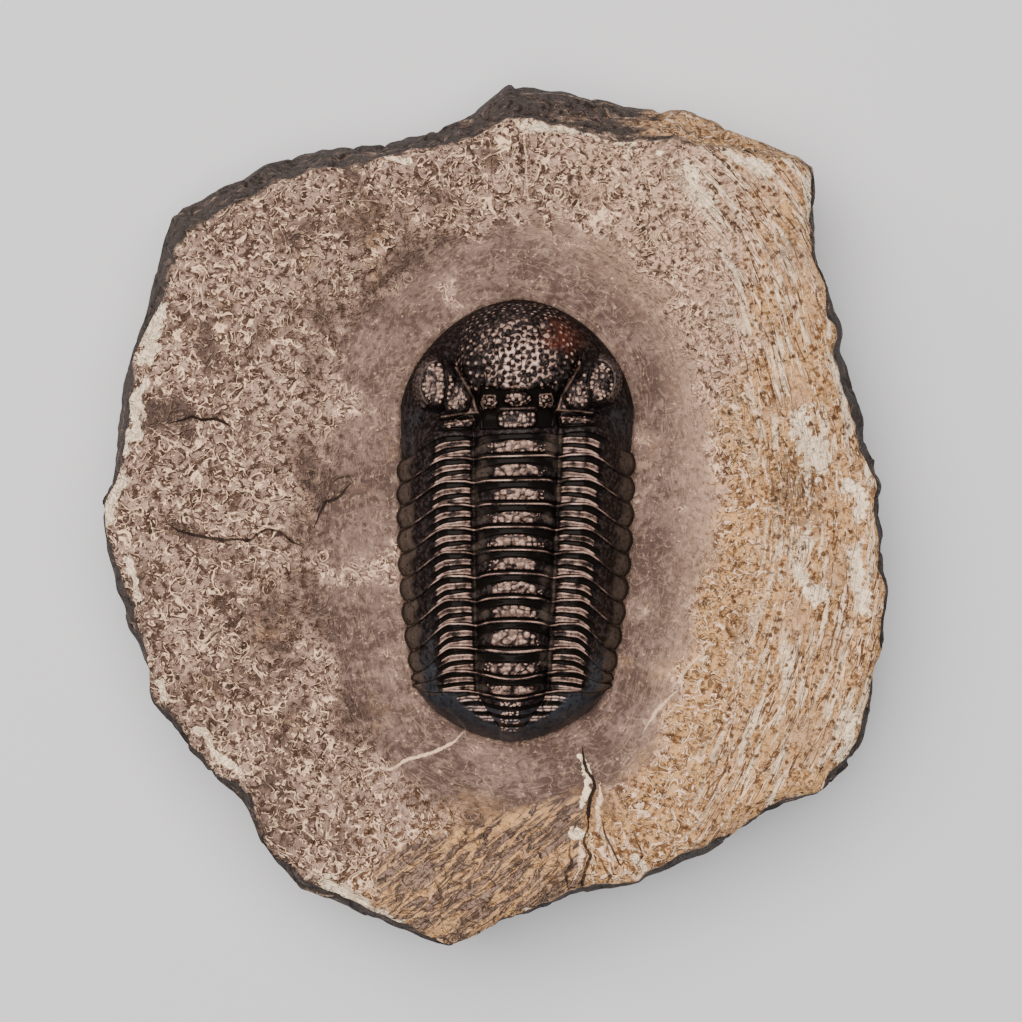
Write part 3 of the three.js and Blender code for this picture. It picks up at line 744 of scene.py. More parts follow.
def eye_loops(side, sizes):
    """The outer band of one eye as closed sections round it, and its masks. Each section goes over
    the smooth rim, down the steep lens field with its rows of round lenses, and back inside."""
    columns, rows = EYE_GRID
    turn = np.linspace(-66.0, 100.0, columns)[:, None]
    fade = window(turn, -66.0, -52.0, 84.0, 100.0)
    cosine, sine = np.cos(np.radians(turn)), np.sin(np.radians(turn))
    profile = np.array([
        (-1.30, 9.2), (-0.95, 9.86), (-0.72, 9.96), (-0.48, 9.86), (-0.22, 9.66), (-0.03, 9.40),
        (-0.05, 9.25), (-0.14, 9.15), (-0.12, 8.8), (-0.04, 8.0), (0.04, 7.1), (0.10, 6.2), (0.14, 5.5),
        (0.04, 5.2), (0.16, 4.9), (0.10, 4.4), (-1.3, 4.4)])
    spot = np.linspace(0.0, 1.0, len(profile))
    wanted = np.interp(np.linspace(0, 1, rows), [0, 0.06, 0.42, 0.82, 0.94, 1.0],
                       [0, 0.05, spot[7], spot[12], 0.9, 1.0])
    out, z = (np.interp(wanted, spot, values)[None] for values in profile.T)
    out = mix(-0.9, out, fade)
    x = EYE["x"] + (EYE["half_width"] + out) * cosine
    y = EYE["y"] + (EYE["length"] + out) * sine
    z = z - 0.25 * (1.0 - cosine) * smooth(9.0, 9.8, z)
    points = stack(x, y, z)

    around = np.cumsum(np.hypot(*np.gradient(points[:, 20, :2], axis=0).T))[:, None]
    step = sizes.lens_diameter / MM * 1.25
    file_number = np.floor(around / step)
    lens_x = (around / step - file_number - 0.5) * step
    lens_z = (((9.15 - z) / step + 0.5 * (file_number % 2)) % 1.0 - 0.5) * step
    field = smooth(5.45, 5.65, z) * smooth(9.3, 9.15, z) * (out > -0.3) * fade
    lens = shoulder(np.hypot(lens_x, lens_z) / (0.44 * step), 2.0, 0.7) * field
    points = points + stack(cosine, sine, 0.0) * (0.11 * lens)[..., None]
    lean = mix(body_sizes(np.zeros(1))["lean"], LEAN["front"], smooth(0.0, 13.0, y))
    points[..., 0] *= side
    points[..., 1] += lean * points[..., 0]
    masks = {
        # Painted shade between the lenses.
        "recess": field * (1.0 - lens),
        "dull": np.maximum(0.85 * (1.0 - field), field * (1.0 - lens)),
        "lens": lens,
        "worn": 0.27 * smooth(9.2, 9.5, z) * (out > -0.9) * fade,
    }
    return points, masks


# ---- The tail -------------------------------------------------------------------------------

def tail_loops(sizes):
    """The tail shield as closed sections from side to side, and its masks. Each runs from the last
    line back over the top to the hind outline. Rings cross the narrowing axis and ribs the sides."""
    columns, rows = TAIL_GRID
    body = body_sizes(np.full(1, float(THORAX["segments"])))
    start_x = even_across(body, columns)
    start_y = line_y(start_x, body)
    share = start_x / body["margin"]
    end = np.abs(share)
    end_x = 0.97 * TAIL["half_width"] * share
    end_y = TAIL["centre"] + body["lean"] * end_x - TAIL["length"] * shoulder(
        end_x / TAIL["half_width"], TAIL["power"], 1 / TAIL["power"])

    def axis_at(t):
        return body["axis"] * np.maximum(0.35, 1.0 - 0.72 * smooth(-0.1, 0.9, t))

    t = np.linspace(-0.045, 1.0, FINE_TAIL)[None]
    x, y = mix(start_x, end_x, t), mix(start_y, end_y, t)
    across, axis = np.abs(x), axis_at(t)
    dome = shoulder(np.clip(t, 0.0, 1.0), 2.6, 0.75) * shoulder(end ** 30, 1.0, 0.5)
    axial = body["crown"] - 1.25 * (across / (0.85 * axis)) ** 2.4
    flat = body_z(np.maximum(across, body["axis"] + 0.9), body)
    top_z = mix(np.maximum(axial, flat - 1.0), flat, smooth(axis - 0.3, axis + 0.5, across))
    top_z = top_z - 0.25 * bell(across - axis - 0.1, 0.4) * smooth(0.7, 0.4, t)
    carried = even_rows(stack(x, y, mix(MARGIN_HEIGHT, top_z, dome)), rows)
    x, y = carried[..., 0], carried[..., 1]
    plan = stack(x, y)
    t = np.clip((y - start_y) / (end_y - start_y), -0.1, 1.0)
    across, axis = np.abs(x), axis_at(t)
    on_side = smooth(axis - 0.2, axis + 0.3, across)

    behind = start_y - y
    ring = smooth(-0.35, 0.3, np.cos(2 * math.pi * ((behind - 0.05) / 0.98 - 0.5)))
    ring = ring * smooth(0.02, 0.12, behind)
    phase = (behind - 0.16 * (across - axis)) / 1.02
    rib = smooth(-0.5, 0.2, np.cos(2 * math.pi * (phase - 0.45)))
    rib = rib - 0.45 * bell((phase - 0.45) - np.round(phase - 0.45), 0.07)
    limit = np.interp(phase, [0.0, 1.0, 2.0, 3.0], [6.7, 6.0, 4.6, 3.0])
    fade = smooth(0.75, 0.45, t) * smooth(limit, limit - 0.8, across)
    ring_fade = smooth(0.85, 0.62, t)
    spots = granules(plan, 0.42, 77)
    middle = ring * ring_fade * smooth(1.3, 0.9, np.abs(x + 0.2))
    height = mix(0.30 * (ring - 1.0) * ring_fade, 0.30 * (rib - 1.0) * fade - 0.12 * (1.0 - fade), on_side)
    tucked = -0.45 * smooth(0.0, -0.04, t) * (1.0 - 0.85 * smooth(0.72, 0.84, end))
    height = sizes.rib_relief / RIB_RELIEF * (height + tucked + 0.13 * spots * middle)
    height = height + 0.035 * fractal(carried, 2.0, 3, 21)
    top = carried.copy()
    top[..., 2] = np.maximum(0.5 * MARGIN_HEIGHT, top[..., 2] + height * smooth(0.8, 4.0, carried[..., 2]))
    under = top[:, [-1, -1, 0]].copy()
    under[..., 2] = (0.4 * MARGIN_HEIGHT, 0.0, 0.0)

    # Painted highlight, partly rubbed wear, on the ring granules and the ribs.
    ribs = (1.0 - 0.75 * bell(noise(plan, 0.8, 79), 0.18)) * smooth(0.4, 0.9, on_side) * fade
    worn = np.maximum(middle * smooth(0.05, 0.35, spots), ribs * smooth(0.50, 0.9, rib) * (behind > 0.12))
    masks = section_masks({
        # Painted shade in the tail's furrows and troughs.
        "recess": np.clip(-height / 0.3, 0.0, 1.0) * (1.0 - worn),
        "dull": 0.95 * smooth(1.0, 0.45, worn) * (1.0 - 0.3 * smooth(0.3, 0.6, t)),
        "tip": smooth(0.66, 0.9, end) * smooth(0.35, 0.05, t),
        "worn": worn,
        "cool": smooth(0.15, 0.5, t + 0.05 * across),
    }, 3, dull=1.0)
    return np.concatenate([top, under], axis=1), masks


# ---- The slab -------------------------------------------------------------------------------

def animal_outline(count):
    """Points round the animal in plan: half width of head, thorax or tail at each height."""
    angle = np.linspace(0.0, 2 * math.pi, count, endpoint=False)
    y = mix(TAIL["centre"] - TAIL["length"], HEAD["centre"] + HEAD["length"], 0.5 + 0.5 * np.sin(angle))
    head, tail = (
        end["half_width"] * shoulder(
            np.maximum(0.0, way * (y - end["centre"]) / end["length"]), end["power"], 1 / end["power"])
        for end, way in ((HEAD, 1), (TAIL, -1)))
    body = np.minimum(head, body_half_width(y) + 0.5 * THORAX["tip_bulge"])
    half = np.where(y < TAIL["centre"], tail, body)
    return (in_place(stack(np.sign(np.cos(angle)) * half, y, 0.0)) - SLAB)[:, :2]


def ray_lengths(outline, centre, angles):
    """Distance from a centre to a closed outline in each direction."""
    way = stack(np.cos(angles), np.sin(angles))[:, None]
    start = outline - centre
    side = np.roll(outline, -1, axis=0) - outline
    turn = way[..., 0] * side[:, 1] - way[..., 1] * side[:, 0]
    turn = np.where(np.abs(turn) < 1e-9, 1e-9, turn)
    distance = (start[:, 0] * side[:, 1] - start[:, 1] * side[:, 0]) / turn
    share = (start[:, 0] * way[..., 1] - start[:, 1] * way[..., 0]) / turn
    return np.where((share > -1e-6) & (share < 1 + 1e-6), distance, 0.0).max(axis=1)


def chip_mask(plan):
    """1 along the middle of a chip, 0 on its edge and less than 0 outside."""
    best = np.full(plan.shape[:-1], -1.0)
    for x0, y0, x1, y1, width in CHIPS:
        distance, _ = line_distance(plan, [(x0, y0), (x1, y1)])
        best = np.maximum(best, 1.0 - np.abs(distance) / (0.5 * width))
    return best


def nearest_line(plan, lines):
    """Signed distance from the nearest of several lines in half widths, which shrink towards the
    ends of each line, and that line's strength, fading to nothing beside it."""
    nearest = np.full(plan.shape[:-1], 9.0)
    share, strength = nearest.copy(), np.zeros_like(nearest)
    for width, dark, line in lines:
        distance, ends = line_distance(plan, line)
        nearer = np.abs(distance) < np.abs(nearest)
        nearest = np.where(nearer, distance, nearest)
        share = np.where(nearer, distance / (0.5 * width * mix(0.3, 1.0, smooth(0.0, 2.0, ends))), share)
        strength = np.where(nearer, dark, strength)
    return np.clip(share, -9.0, 9.0), strength * smooth(0.9, 0.5, np.abs(nearest))


def slab_walls(rim, rim_z, outer, way, centre):
    """The slab's broken walls as rings: down from the rim, out to the widest level and in to the
    base, with flat-faced blocks broken out of them."""
    down = np.linspace(0.0, 1.0, WALL_RINGS)[1:, None]
    stops = np.array([0.0, 0.3, 0.58, 0.9, 1.0])
    reach = np.stack([rim, mix(rim, outer, 0.75), outer, outer - FOOT_INSET, outer - BASE_INSET])
    levels = [np.full(len(rim), LEVEL[name]) for name in ("wall", "widest", "foot", "base")]
    heights = np.stack([rim_z, *levels])
    place = np.clip(np.searchsorted(stops, down[:, 0], side="left"), 1, 4)
    part = ((down[:, 0] - stops[place - 1]) / (stops[place] - stops[place - 1]))[:, None]
    wall_r, wall_z = (mix(values[place - 1], values[place], part) for values in (reach, heights))
    spots = stack(wall_r * way[:, 0], wall_r * way[:, 1], wall_z)
    blocks, next_block, block = nearest_cells(spots * (1.0, 1.0, 1.6), 9.0, 70)
    broken = 0.9 * (block - 0.7) + 0.45 * fractal(spots, 4.0, 3, 72) - 0.5 * bell(next_block - blocks, 0.08)
    wall_r = wall_r + np.minimum(0.1, broken * window(down, 0.0, 0.12, 0.93, 1.0))
    walls = np.concatenate([centre + wall_r[..., None] * way, wall_z[..., None]], -1)
    walls[-1, :, 2] = LEVEL["base"]
    return walls, wall_r[-1]


def slab_loops(sizes):
    """The slab as rings from under the animal out over the moat, the scribed shelf and the rim,
    down the broken walls and in under the base, and its masks."""
    count, top_rings = SLAB_GRID
    angles = np.linspace(0.0, 2 * math.pi, count, endpoint=False)
    centre = np.array([MOAT["x"], MOAT["y"]])
    way = stack(np.cos(angles), np.sin(angles))
    inner = ray_lengths(animal_outline(FINE_OUTLINE), centre, angles)
    outer = ray_lengths(SLAB_OUTLINE, centre, angles) + 0.55 * fractal(40.0 * way, 7.0, 4, 90) - 0.35
    rim = outer - np.interp(np.degrees(angles), *RIM_INSET.T) + 0.6 * fractal(40.0 * way, 4.0, 3, 95)
    rim = np.minimum(rim, outer - 0.5)

    # The top: a level seat and moat, then the scribed shelf rising to the rim.
    radius = mix(inner - 2.2, rim, np.linspace(0.0, 1.0, top_rings)[:, None])
    plan = centre + radius[..., None] * way
    out = radius - inner
    shelf = MOAT["width"] + MOAT["shelf"]
    rough_share = np.clip((out - shelf) / (rim - inner - shelf), 0.0, 1.0)
    rim_level = LEVEL["rim"] + 0.6 * np.sin(angles + 2.2) + 0.4 * np.sin(3 * angles)
    z = np.interp(out, [-0.5, 0.1, 0.9, MOAT["width"], shelf], [
        LEVEL["seat"] + 0.05, LEVEL["moat"] - 0.1, LEVEL["moat"], LEVEL["moat"] + 0.4, LEVEL["shelf"] - 0.3])
    z = z + (rim_level - LEVEL["shelf"] + 0.3) * np.minimum(1.0, 1.4 * rough_share) ** 0.8
    rough = smooth(MOAT["width"] - 0.8, shelf + 1.6, out + 1.4 * noise(plan, 9.0, 40))
    near = smooth(0.0, 1.5, out)
    first, second, number = nearest_cells(warped(plan, 0.5, 1.5, 43), 2.1, 45)
    strokes = 0.26 * ridges(plan, 1.9, 46) + 0.17 * ridges(plan, 0.95, 52)
    facets = 0.22 * (number - 0.5) * smooth(0.0, 0.25, second - first)
    scribed = sizes.scribe_depth / SCRIBE_DEPTH * (strokes + facets)
    brushed = 0.05 * fractal(plan, 1.4, 2, 48) + 0.07 * noise(
        stack(12.0 * way[:, 0], 12.0 * way[:, 1], 1.6 * out), 1.5, 49)
    chip = chip_mask(plan + np.stack(
        [1.0 * noise(plan, 2.6, 61 + axis) + 0.4 * noise(plan, 1.1, 63 + axis) for axis in (0, 1)], -1))
    wavy = warped(plan, 0.35, 1.6, 65)
    crack, crack_reach = nearest_line(wavy, CRACKS)
    vein, vein_reach = nearest_line(wavy, VEINS)
    z = z + 0.30 * fractal(plan, 11.0, 3, 41) * near + near * mix(brushed, scribed, rough)
    z = z - 0.35 * smooth(0.0, 0.5, chip) * smooth(0.0, 0.3, rough_share)
    z = z - 0.5 * bell(crack, 1.3) * crack_reach
    bevel = smooth(rim - RIM_BEVEL["width"], rim, radius)
    z = z - RIM_BEVEL["drop"] * bevel ** 1.5
    walls, foot = slab_walls(rim, z[-1], outer, way, centre)

    def flat_ring(scale, radii, level):
        return np.concatenate([centre + (scale * radii)[:, None] * way, np.full((count, 1), level)], -1)[None]
    under = [flat_ring(scale, foot, LEVEL["base"]) for scale in (0.94, 0.6, 0.2)]
    seat = [flat_ring(scale, inner - 2.2, LEVEL["seat"]) for scale in (0.2, 0.75)]
    loops = np.concatenate([*seat, np.concatenate([plan, z[..., None]], -1), walls, *under])

    # Where each finish shows: over the top, on the seat before it and on the walls and base after it.
    x, y = plan[..., 0], plan[..., 1]
    ochre = smooth(4.0, 32.0, 0.75 * x - 0.66 * y) * smooth(4.0, 14.0, out) + 0.75 * smooth(21.0, 35.0, x)
    corner = bell((np.degrees(angles) - 60.0) / 14.0, 1.0)
    porous = np.maximum(*(mound(x, y, **patch) for patch in POROUS))
    wall_edge = smooth(0.86, 1.0, bevel * rough_share + 0.25 * noise(plan, 1.3, 64) - 0.1)
    masks = {
        "scribed": (rough * near, 0, 1),
        "ochre": (np.clip(ochre, 0, 1), 0, 0.15 + 0.85 * corner),
        "fibre": (smooth(23.0, 31.0, x + 0.12 * np.abs(y)) * smooth(0.1, 0.5, rough_share), 0, 0.5),
        "pale": (smooth(4.0, 24.0, x + 0.15 * y) * smooth(2.5, 13.0, out), 0, 0),
        "porous": (porous, 0, 0),
        "outer": (rough_share, 0, 1),
        "chip": (chip, -1, -1),
        "wall": (wall_edge, 0, 1),
        "strata": (smooth(1.5, -2.5, y + 34.0 - 0.3 * x) * window(x, -16.0, -10.0, 8.5, 12.5), 0, 0),
        "crack": (crack, 9, 9),
        "crack_reach": (crack_reach, 0, 0),
        "vein": (vein, 9, 9),
        "vein_reach": (vein_reach, 0, 0),
        "ridge": (strokes / 0.36 * rough, 0, 0.4),
    }
    lead, tail_rows = len(seat), len(walls) + len(under)
    masks = {name: spread(np.concatenate([
        np.full((lead, count), before), values, np.broadcast_to(after, (tail_rows, count))]), loops)
        for name, (values, before, after) in masks.items()}
    flow = stack(9.0 * way[:, 0], 9.0 * way[:, 1], 1.6 * out).reshape(-1, 3)
    masks["flow"] = np.zeros((loops.shape[0] * count + 2, 3))
    masks["flow"][lead * count:lead * count + len(flow)] = flow
    return np.clip(loops + SLAB, *(np.array(corner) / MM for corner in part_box("matrix"))), masks


# ---- Finishes -------------------------------------------------------------------------------

class Tree:
    """The nodes of one finish or group, with a short call for each kind of step. A value is a
    number, the name of a colour, or another step's output."""

    def __init__(self, tree):
        self.tree = tree

    def join(self, value, socket):
        """Gives a socket its value."""
        if isinstance(value, bpy.types.NodeSocket):
            self.tree.links.new(value, socket)
        elif isinstance(value, str):
            socket.default_value = (*getattr(bpy.context.scene.trilobite_colours, value), 1.0)
        else:
            socket.default_value = value

    def add(self, kind, inputs, **settings):
        """A node with its settings made and its inputs joined."""
        node = self.tree.nodes.new(kind)
        for key, value in settings.items():
            setattr(node, key, value)
        for key, value in inputs.items():
            self.join(value, node.inputs[key])
        return node

    def math(self, operation, *values):
        """One step of arithmetic."""
        return self.add("ShaderNodeMath", dict(enumerate(values)), operation=operation).outputs[0]

    def times(self, first, second):
        """Two values multiplied."""
        return self.math("MULTIPLY", first, second)

    def gain(self, value, factor, base):
        """A value times a factor, plus a base."""
        return self.math("MULTIPLY_ADD", value, factor, base)

    def larger(self, first, second):
        """The larger of two values."""
        return self.math("MAXIMUM", first, second)

    def off(self, value, level):
        """How far a value lies from a level, either way."""
        return self.math("ABSOLUTE", self.math("SUBTRACT", value, level))

    def step(self, value, low, high):
        """0 up to low and 1 from high, with a smooth step between."""
        inputs = {"Value": value, "From Min": low, "From Max": high}
        return self.add("ShaderNodeMapRange", inputs, interpolation_type="SMOOTHSTEP").outputs["Result"]

    def over(self, factor, under, upper):
        """One colour laid over another."""
        node = self.add("ShaderNodeMix", {}, data_type="RGBA")
        colours = [socket for socket in node.inputs if socket.type == "RGBA"]
        for value, socket in zip((factor, under, upper), (node.inputs["Factor"], *colours)):
            self.join(value, socket)
        return next(socket for socket in node.outputs if socket.type == "RGBA")

    def mask(self, name):
        """A number worked out for each vertex of the piece."""
        return self.add("ShaderNodeAttribute", {}, attribute_name=name).outputs["Fac"]

    def moved(self, vector, **inputs):
        """Coordinates shifted, turned or scaled."""
        return self.add("ShaderNodeMapping", {"Vector": vector, **inputs}).outputs["Vector"]

    def noise(self, vector, scale, detail=2.0, roughness=0.5, distortion=0.0):
        """Noise from 0 to 1."""
        inputs = {"Vector": vector, "Scale": scale, "Detail": detail, "Roughness": roughness,
                  "Distortion": distortion}
        return self.add("ShaderNodeTexNoise", inputs).outputs["Fac"]


def shared_group(name, inputs, outputs, steps):
    """A node group with named sockets, built once: steps gives each output's value."""
    if name in bpy.data.node_groups:
        return bpy.data.node_groups[name]
    group = bpy.data.node_groups.new(name, "ShaderNodeTree")
    for label, kind, default in inputs:
        socket = group.interface.new_socket(label, in_out="INPUT", socket_type="NodeSocket" + kind)
        if default is not None:
            socket.default_value = default
    for label, kind in outputs:
        group.interface.new_socket(label, in_out="OUTPUT", socket_type="NodeSocket" + kind)
    start, end = group.nodes.new("NodeGroupInput"), group.nodes.new("NodeGroupOutput")
    for value, socket in zip(steps(Tree(group), *start.outputs[:len(inputs)]), end.inputs):
        group.links.new(value, socket)
    return group


def pitting_group():
    """Fine pits and grit: a height and a mask of the pits, from noise of a given size."""
    def steps(tree, vector, scale, depth):
        grit = tree.noise(vector, scale, 3.0, 0.62)
        pits = tree.step(tree.noise(vector, tree.times(scale, 0.45), 1.0), 0.40, 0.28)
        return tree.math("SUBTRACT", grit, tree.times(pits, depth)), pits
    return shared_group(
        "Fine pitting", [("Vector", "Vector", None), ("Scale", "Float", 3.0), ("Depth", "Float", 0.5)],
        [("Height", "Float"), ("Pits", "Float")], steps)


def mottling_group():
    """A slow change of tone over a surface: the colour, made darker and lighter in patches."""
    def steps(tree, vector, colour, scale, amount):
        centred = tree.math("SUBTRACT", tree.noise(vector, scale, 2.0, 0.6), 0.5)
        inputs = {"Value": tree.gain(centred, amount, 1.0), "Color": colour}
        return tree.add("ShaderNodeHueSaturation", inputs).outputs["Color"],
    return shared_group(
        "Mottling", [("Vector", "Vector", None), ("Colour", "Color", None), ("Scale", "Float", 0.2),
                     ("Amount", "Float", 0.3)], [("Colour", "Color")], steps)


def new_material(name):
    """A material with its shader, and object coordinates in millimetres."""
    material = bpy.data.materials.new(name)
    material.use_nodes = True
    tree = Tree(material.node_tree)
    shader = next(node for node in material.node_tree.nodes if node.type == "BSDF_PRINCIPLED")
    where = tree.add("ShaderNodeTexCoord", {}).outputs["Object"]
    return material, tree, shader, tree.moved(where, Scale=(1 / MM, 1 / MM, 1 / MM))


def mottled(tree, vector, colour, scale, amount):
    """A colour with the mottling group's patches over it."""
    inputs = {"Vector": vector, "Colour": colour, "Scale": scale, "Amount": amount}
    return tree.add("ShaderNodeGroup", inputs, node_tree=mottling_group()).outputs["Colour"]


def finish_surface(tree, shader, colour, roughness, height, strength, distance):
    """Joins a finish's colour, roughness and relief to its shader."""
    bump = tree.add("ShaderNodeBump", {"Strength": strength, "Distance": distance, "Height": height})
    for value, name in ((colour, "Base Color"), (roughness, "Roughness"), (bump.outputs["Normal"], "Normal")):
        tree.join(value, shader.inputs[name])


def worm_lines(tree, vector, scale, width):
    """Short winding lines where noise crosses its middle, and the hollow along one side of each, which
    carries a painted shadow.
    """
    value = tree.math("SUBTRACT", tree.noise(vector, scale, 1.0, 0.5, 1.3), 0.5)
    broken = tree.step(tree.noise(vector, 2.2 * scale, 0.0), 0.43, 0.52)
    crest = tree.step(tree.math("ABSOLUTE", value), width, 0.3 * width)
    shade_and_patina = tree.step(tree.off(value, 1.9 * width), width, 0.2 * width)
    return [tree.times(line, broken) for line in (crest, shade_and_patina)]


def shell_material():
    """Dark glossy calcite: brown in its furrows, rusty on one cheek, slate blue on steep rims, with painted
    shade in its furrows and recesses, and a painted highlight, partly rubbed wear, on its crests and tubercle
    tops.
    """
    name = "dark_calcite_shell"
    if name in bpy.data.materials:
        return bpy.data.materials[name]
    material, tree, shader, vector = new_material(name)
    blotch = tree.noise(vector, 0.55, 3.0, 0.6)
    colour = "shell"
    for mask, upper, low, high in (
            ("cool", "slate_shell", 0.25, 1.0), ("tip", "tip", 0.1, 0.9), ("rust", "rust", 0.35, 1.15)):
        patchy = tree.math("SUBTRACT", tree.gain(blotch, 1.3, tree.mask(mask)), 0.65)
        colour = tree.over(tree.step(patchy, low, high), colour, upper)
    colour = mottled(tree, vector, colour, 0.9, 1.6)
    grain = tree.noise(vector, 1.9, 3.0, 0.68)
    colour = tree.over(tree.times(tree.step(grain, 0.48, 0.62), 0.60), colour, "bloom")
    colour = tree.over(tree.times(tree.step(grain, 0.47, 0.36), 0.75), colour, "furrow")
    # Painted shade: furrows, troughs, plate edges and the gaps between lenses darkened to the furrow colour.
    colour = tree.over(tree.mask("recess"), colour, "furrow")
    # Painted highlight, partly rubbed wear: pale pinkish crests, band edges and tubercle tops.
    speck = tree.noise(vector, 3.2, 2.0, 0.6)
    wear_and_highlight_share = tree.step(tree.gain(speck, 0.5, tree.mask("worn")), 0.40, 1.25)
    colour = tree.over(tree.times(wear_and_highlight_share, tree.step(speck, -0.2, 0.6)), colour, "worn")

    lens = tree.times(tree.mask("lens"), -0.12)
    polished = tree.math("ADD", tree.gain(tree.noise(vector, 1.7, 3.0, 0.6), 0.26, 0.13), lens)
    dull = tree.mask("dull")
    pitting = tree.add("ShaderNodeGroup", {"Vector": vector, "Scale": 5.5, "Depth": 0.6},
                       node_tree=pitting_group())
    finish_surface(tree, shader, colour, tree.gain(dull, 0.5, polished), pitting.outputs["Height"],
                   0.35, 0.06 * MM)
    tree.join(tree.gain(dull, -1.0, 1.0), shader.inputs["Coat Weight"])
    shader.inputs["Specular IOR Level"].default_value = 0.06
    shader.inputs["Coat IOR"].default_value = 1.6
    shader.inputs["Coat Roughness"].default_value = 0.15
    return material


def limestone_material():
    """Prepared limestone: a brushed taupe moat, scribed brown ground with pale streaks and a painted
    shadow beside each, ochre ground, cream chips, slaty broken walls, slanting strata, cracks and veins."""
    material, tree, shader, vector = new_material("prepared_limestone")
    scribed, ridge, ochre, fibre, pale, outer, porous = (
        tree.mask(name) for name in ("scribed", "ridge", "ochre", "fibre", "pale", "outer", "porous"))
    flow = tree.add("ShaderNodeAttribute", {}, attribute_name="flow").outputs["Vector"]
    speck = tree.noise(vector, 1.9, 3.0, 0.65)
    grit = tree.noise(vector, 1.15, 4.0, 0.68)
    tone = tree.noise(vector, 0.13, 3.0, 0.6, 0.6)

    # Tool marks: winding lines on most of the stone, and strands along the flow near the right edge, each
    # with a painted shadow along one side.
    coarse, coarse_hollow_shadow = worm_lines(tree, vector, 0.42, 0.042)
    fine, fine_hollow_shadow = worm_lines(tree, tree.moved(vector, Location=(37.0, 37.0, 0.0)), 0.85, 0.050)
    strand, strand_hollow_shadow = worm_lines(tree, flow, 0.80, 0.050)
    dense = tree.gain(tree.step(tree.gain(outer, 0.30, tone), 0.46, 0.70), 0.75, 0.25)
    dense = tree.larger(dense, tree.times(pale, 0.85))
    plain_ground = tree.math("SUBTRACT", 1.0, fibre)
    lines = []
    # The second set is the hollow beside each mark: sunk in the relief and painted as shadow.
    for marks in ((coarse, fine, strand), (coarse_hollow_shadow, fine_hollow_shadow, strand_hollow_shadow)):
        both = tree.times(tree.larger(marks[0], marks[1]), tree.gain(plain_ground, 0.6, 0.4))
        strands = tree.times(marks[2], fibre)
        lines += [tree.larger(both, strands), tree.larger(tree.times(both, dense), strands)]
    raised, streak, sunk, shadow = lines

    # The brushed moat.
    brushed = tree.step(tree.gain(grit, 0.5, tree.times(tone, 0.5)), 0.44, 0.56)
    moat = tree.over(brushed, "moat_dark", "moat")
    moat = tree.over(tree.times(pale, 0.70), moat, "pale")
    ochre_patch = tree.gain(tree.noise(vector, 0.2, 3.0, 0.65), 1.8, ochre)
    moat = tree.over(tree.times(tree.step(ochre_patch, 1.05, 1.85), 0.6), moat, "ochre")
    # Pale specks and marks, and painted shadow along the fine marks and strands.
    for line, factor, upper in (
            (tree.step(speck, 0.62, 0.70), 0.40, "streak"), (fine_hollow_shadow, 0.35, "shade_and_patina"),
            (strand_hollow_shadow, 0.38, "shade_and_patina"), (strand, 0.10, "streak"), (coarse, 0.10, "streak")):
        moat = tree.over(tree.times(line, factor), moat, upper)

    # The scribed ground, with its streaks, strands and their painted shadows, porous patches and dark dots.
    ground = tree.over(tree.step(tone, 0.40, 0.58), "ground_dark", "ground")
    ground = tree.over(pale, ground, "pale")
    ground = tree.over(tree.step(ochre_patch, 1.05, 1.70), ground, "ochre")
    # Painted shadow for the tool marks and patina for the pits and grit, yellower on the ochre ground.
    shade_and_patina = tree.over(ochre, "shade_and_patina", "ochre_shade_and_patina")
    rough = tree.over(tree.step(tree.gain(pale, 0.04, grit), 0.38, 0.59), shade_and_patina, ground)
    # Painted shadow beside the marks, cream blotches, and painted shadow beside the strands.
    rough = tree.over(tree.times(shadow, 0.85), rough, shade_and_patina)
    blotch = tree.times(tree.step(tree.noise(flow, 0.55, 3.0, 0.62), 0.54, 0.60), fibre)
    rough = tree.over(tree.times(blotch, 0.75), rough, "cream")
    rough = tree.over(tree.times(strand_hollow_shadow, fibre), rough, shade_and_patina)
    rough = tree.over(tree.step(tree.gain(ridge, 0.15, streak), 0.12, 0.85), rough, "streak")
    pores = tree.times(tree.step(tree.gain(grit, 3.2, porous), 1.9, 2.4), tree.step(speck, 0.60, 0.48))
    pores = tree.times(pores, tree.step(porous, 0.0, 0.5))
    rough = tree.over(tree.times(pores, 0.62), rough, "slate")
    cells = tree.add("ShaderNodeTexVoronoi", {"Vector": vector, "Scale": 0.95}).outputs["Distance"]
    dots = tree.times(tree.step(cells, 0.34, 0.20), tree.step(speck, 0.60, 0.46))
    rough = tree.over(tree.times(dots, tree.gain(pale, 0.80, 0.15)), rough, shade_and_patina)
    colour = tree.over(tree.step(tree.gain(tone, 3.5, scribed), 2.05, 2.55), moat, rough)

    # The slanting beds at the bottom edge.
    turned = tree.moved(vector, Rotation=(0.0, 0.0, math.radians(-38.0)))
    beds = tree.noise(tree.moved(turned, Scale=(0.20, 1.0, 0.3)), 1.0, 3.0, 0.68, 1.5)
    banding = tree.over(tree.step(beds, 0.46, 0.62), "ground_dark", "ochre")
    banding = tree.over(tree.step(tree.off(beds, 0.47), 0.062, 0.020), banding, "slate")
    # Painted shadow along the coarse marks.
    banding = tree.over(tree.times(coarse_hollow_shadow, 0.7), banding, "shade_and_patina")
    banded = tree.step(tree.gain(grit, 0.5, tree.mask("strata")), 0.50, 0.95)
    colour = tree.over(tree.times(banded, 0.88), colour, banding)

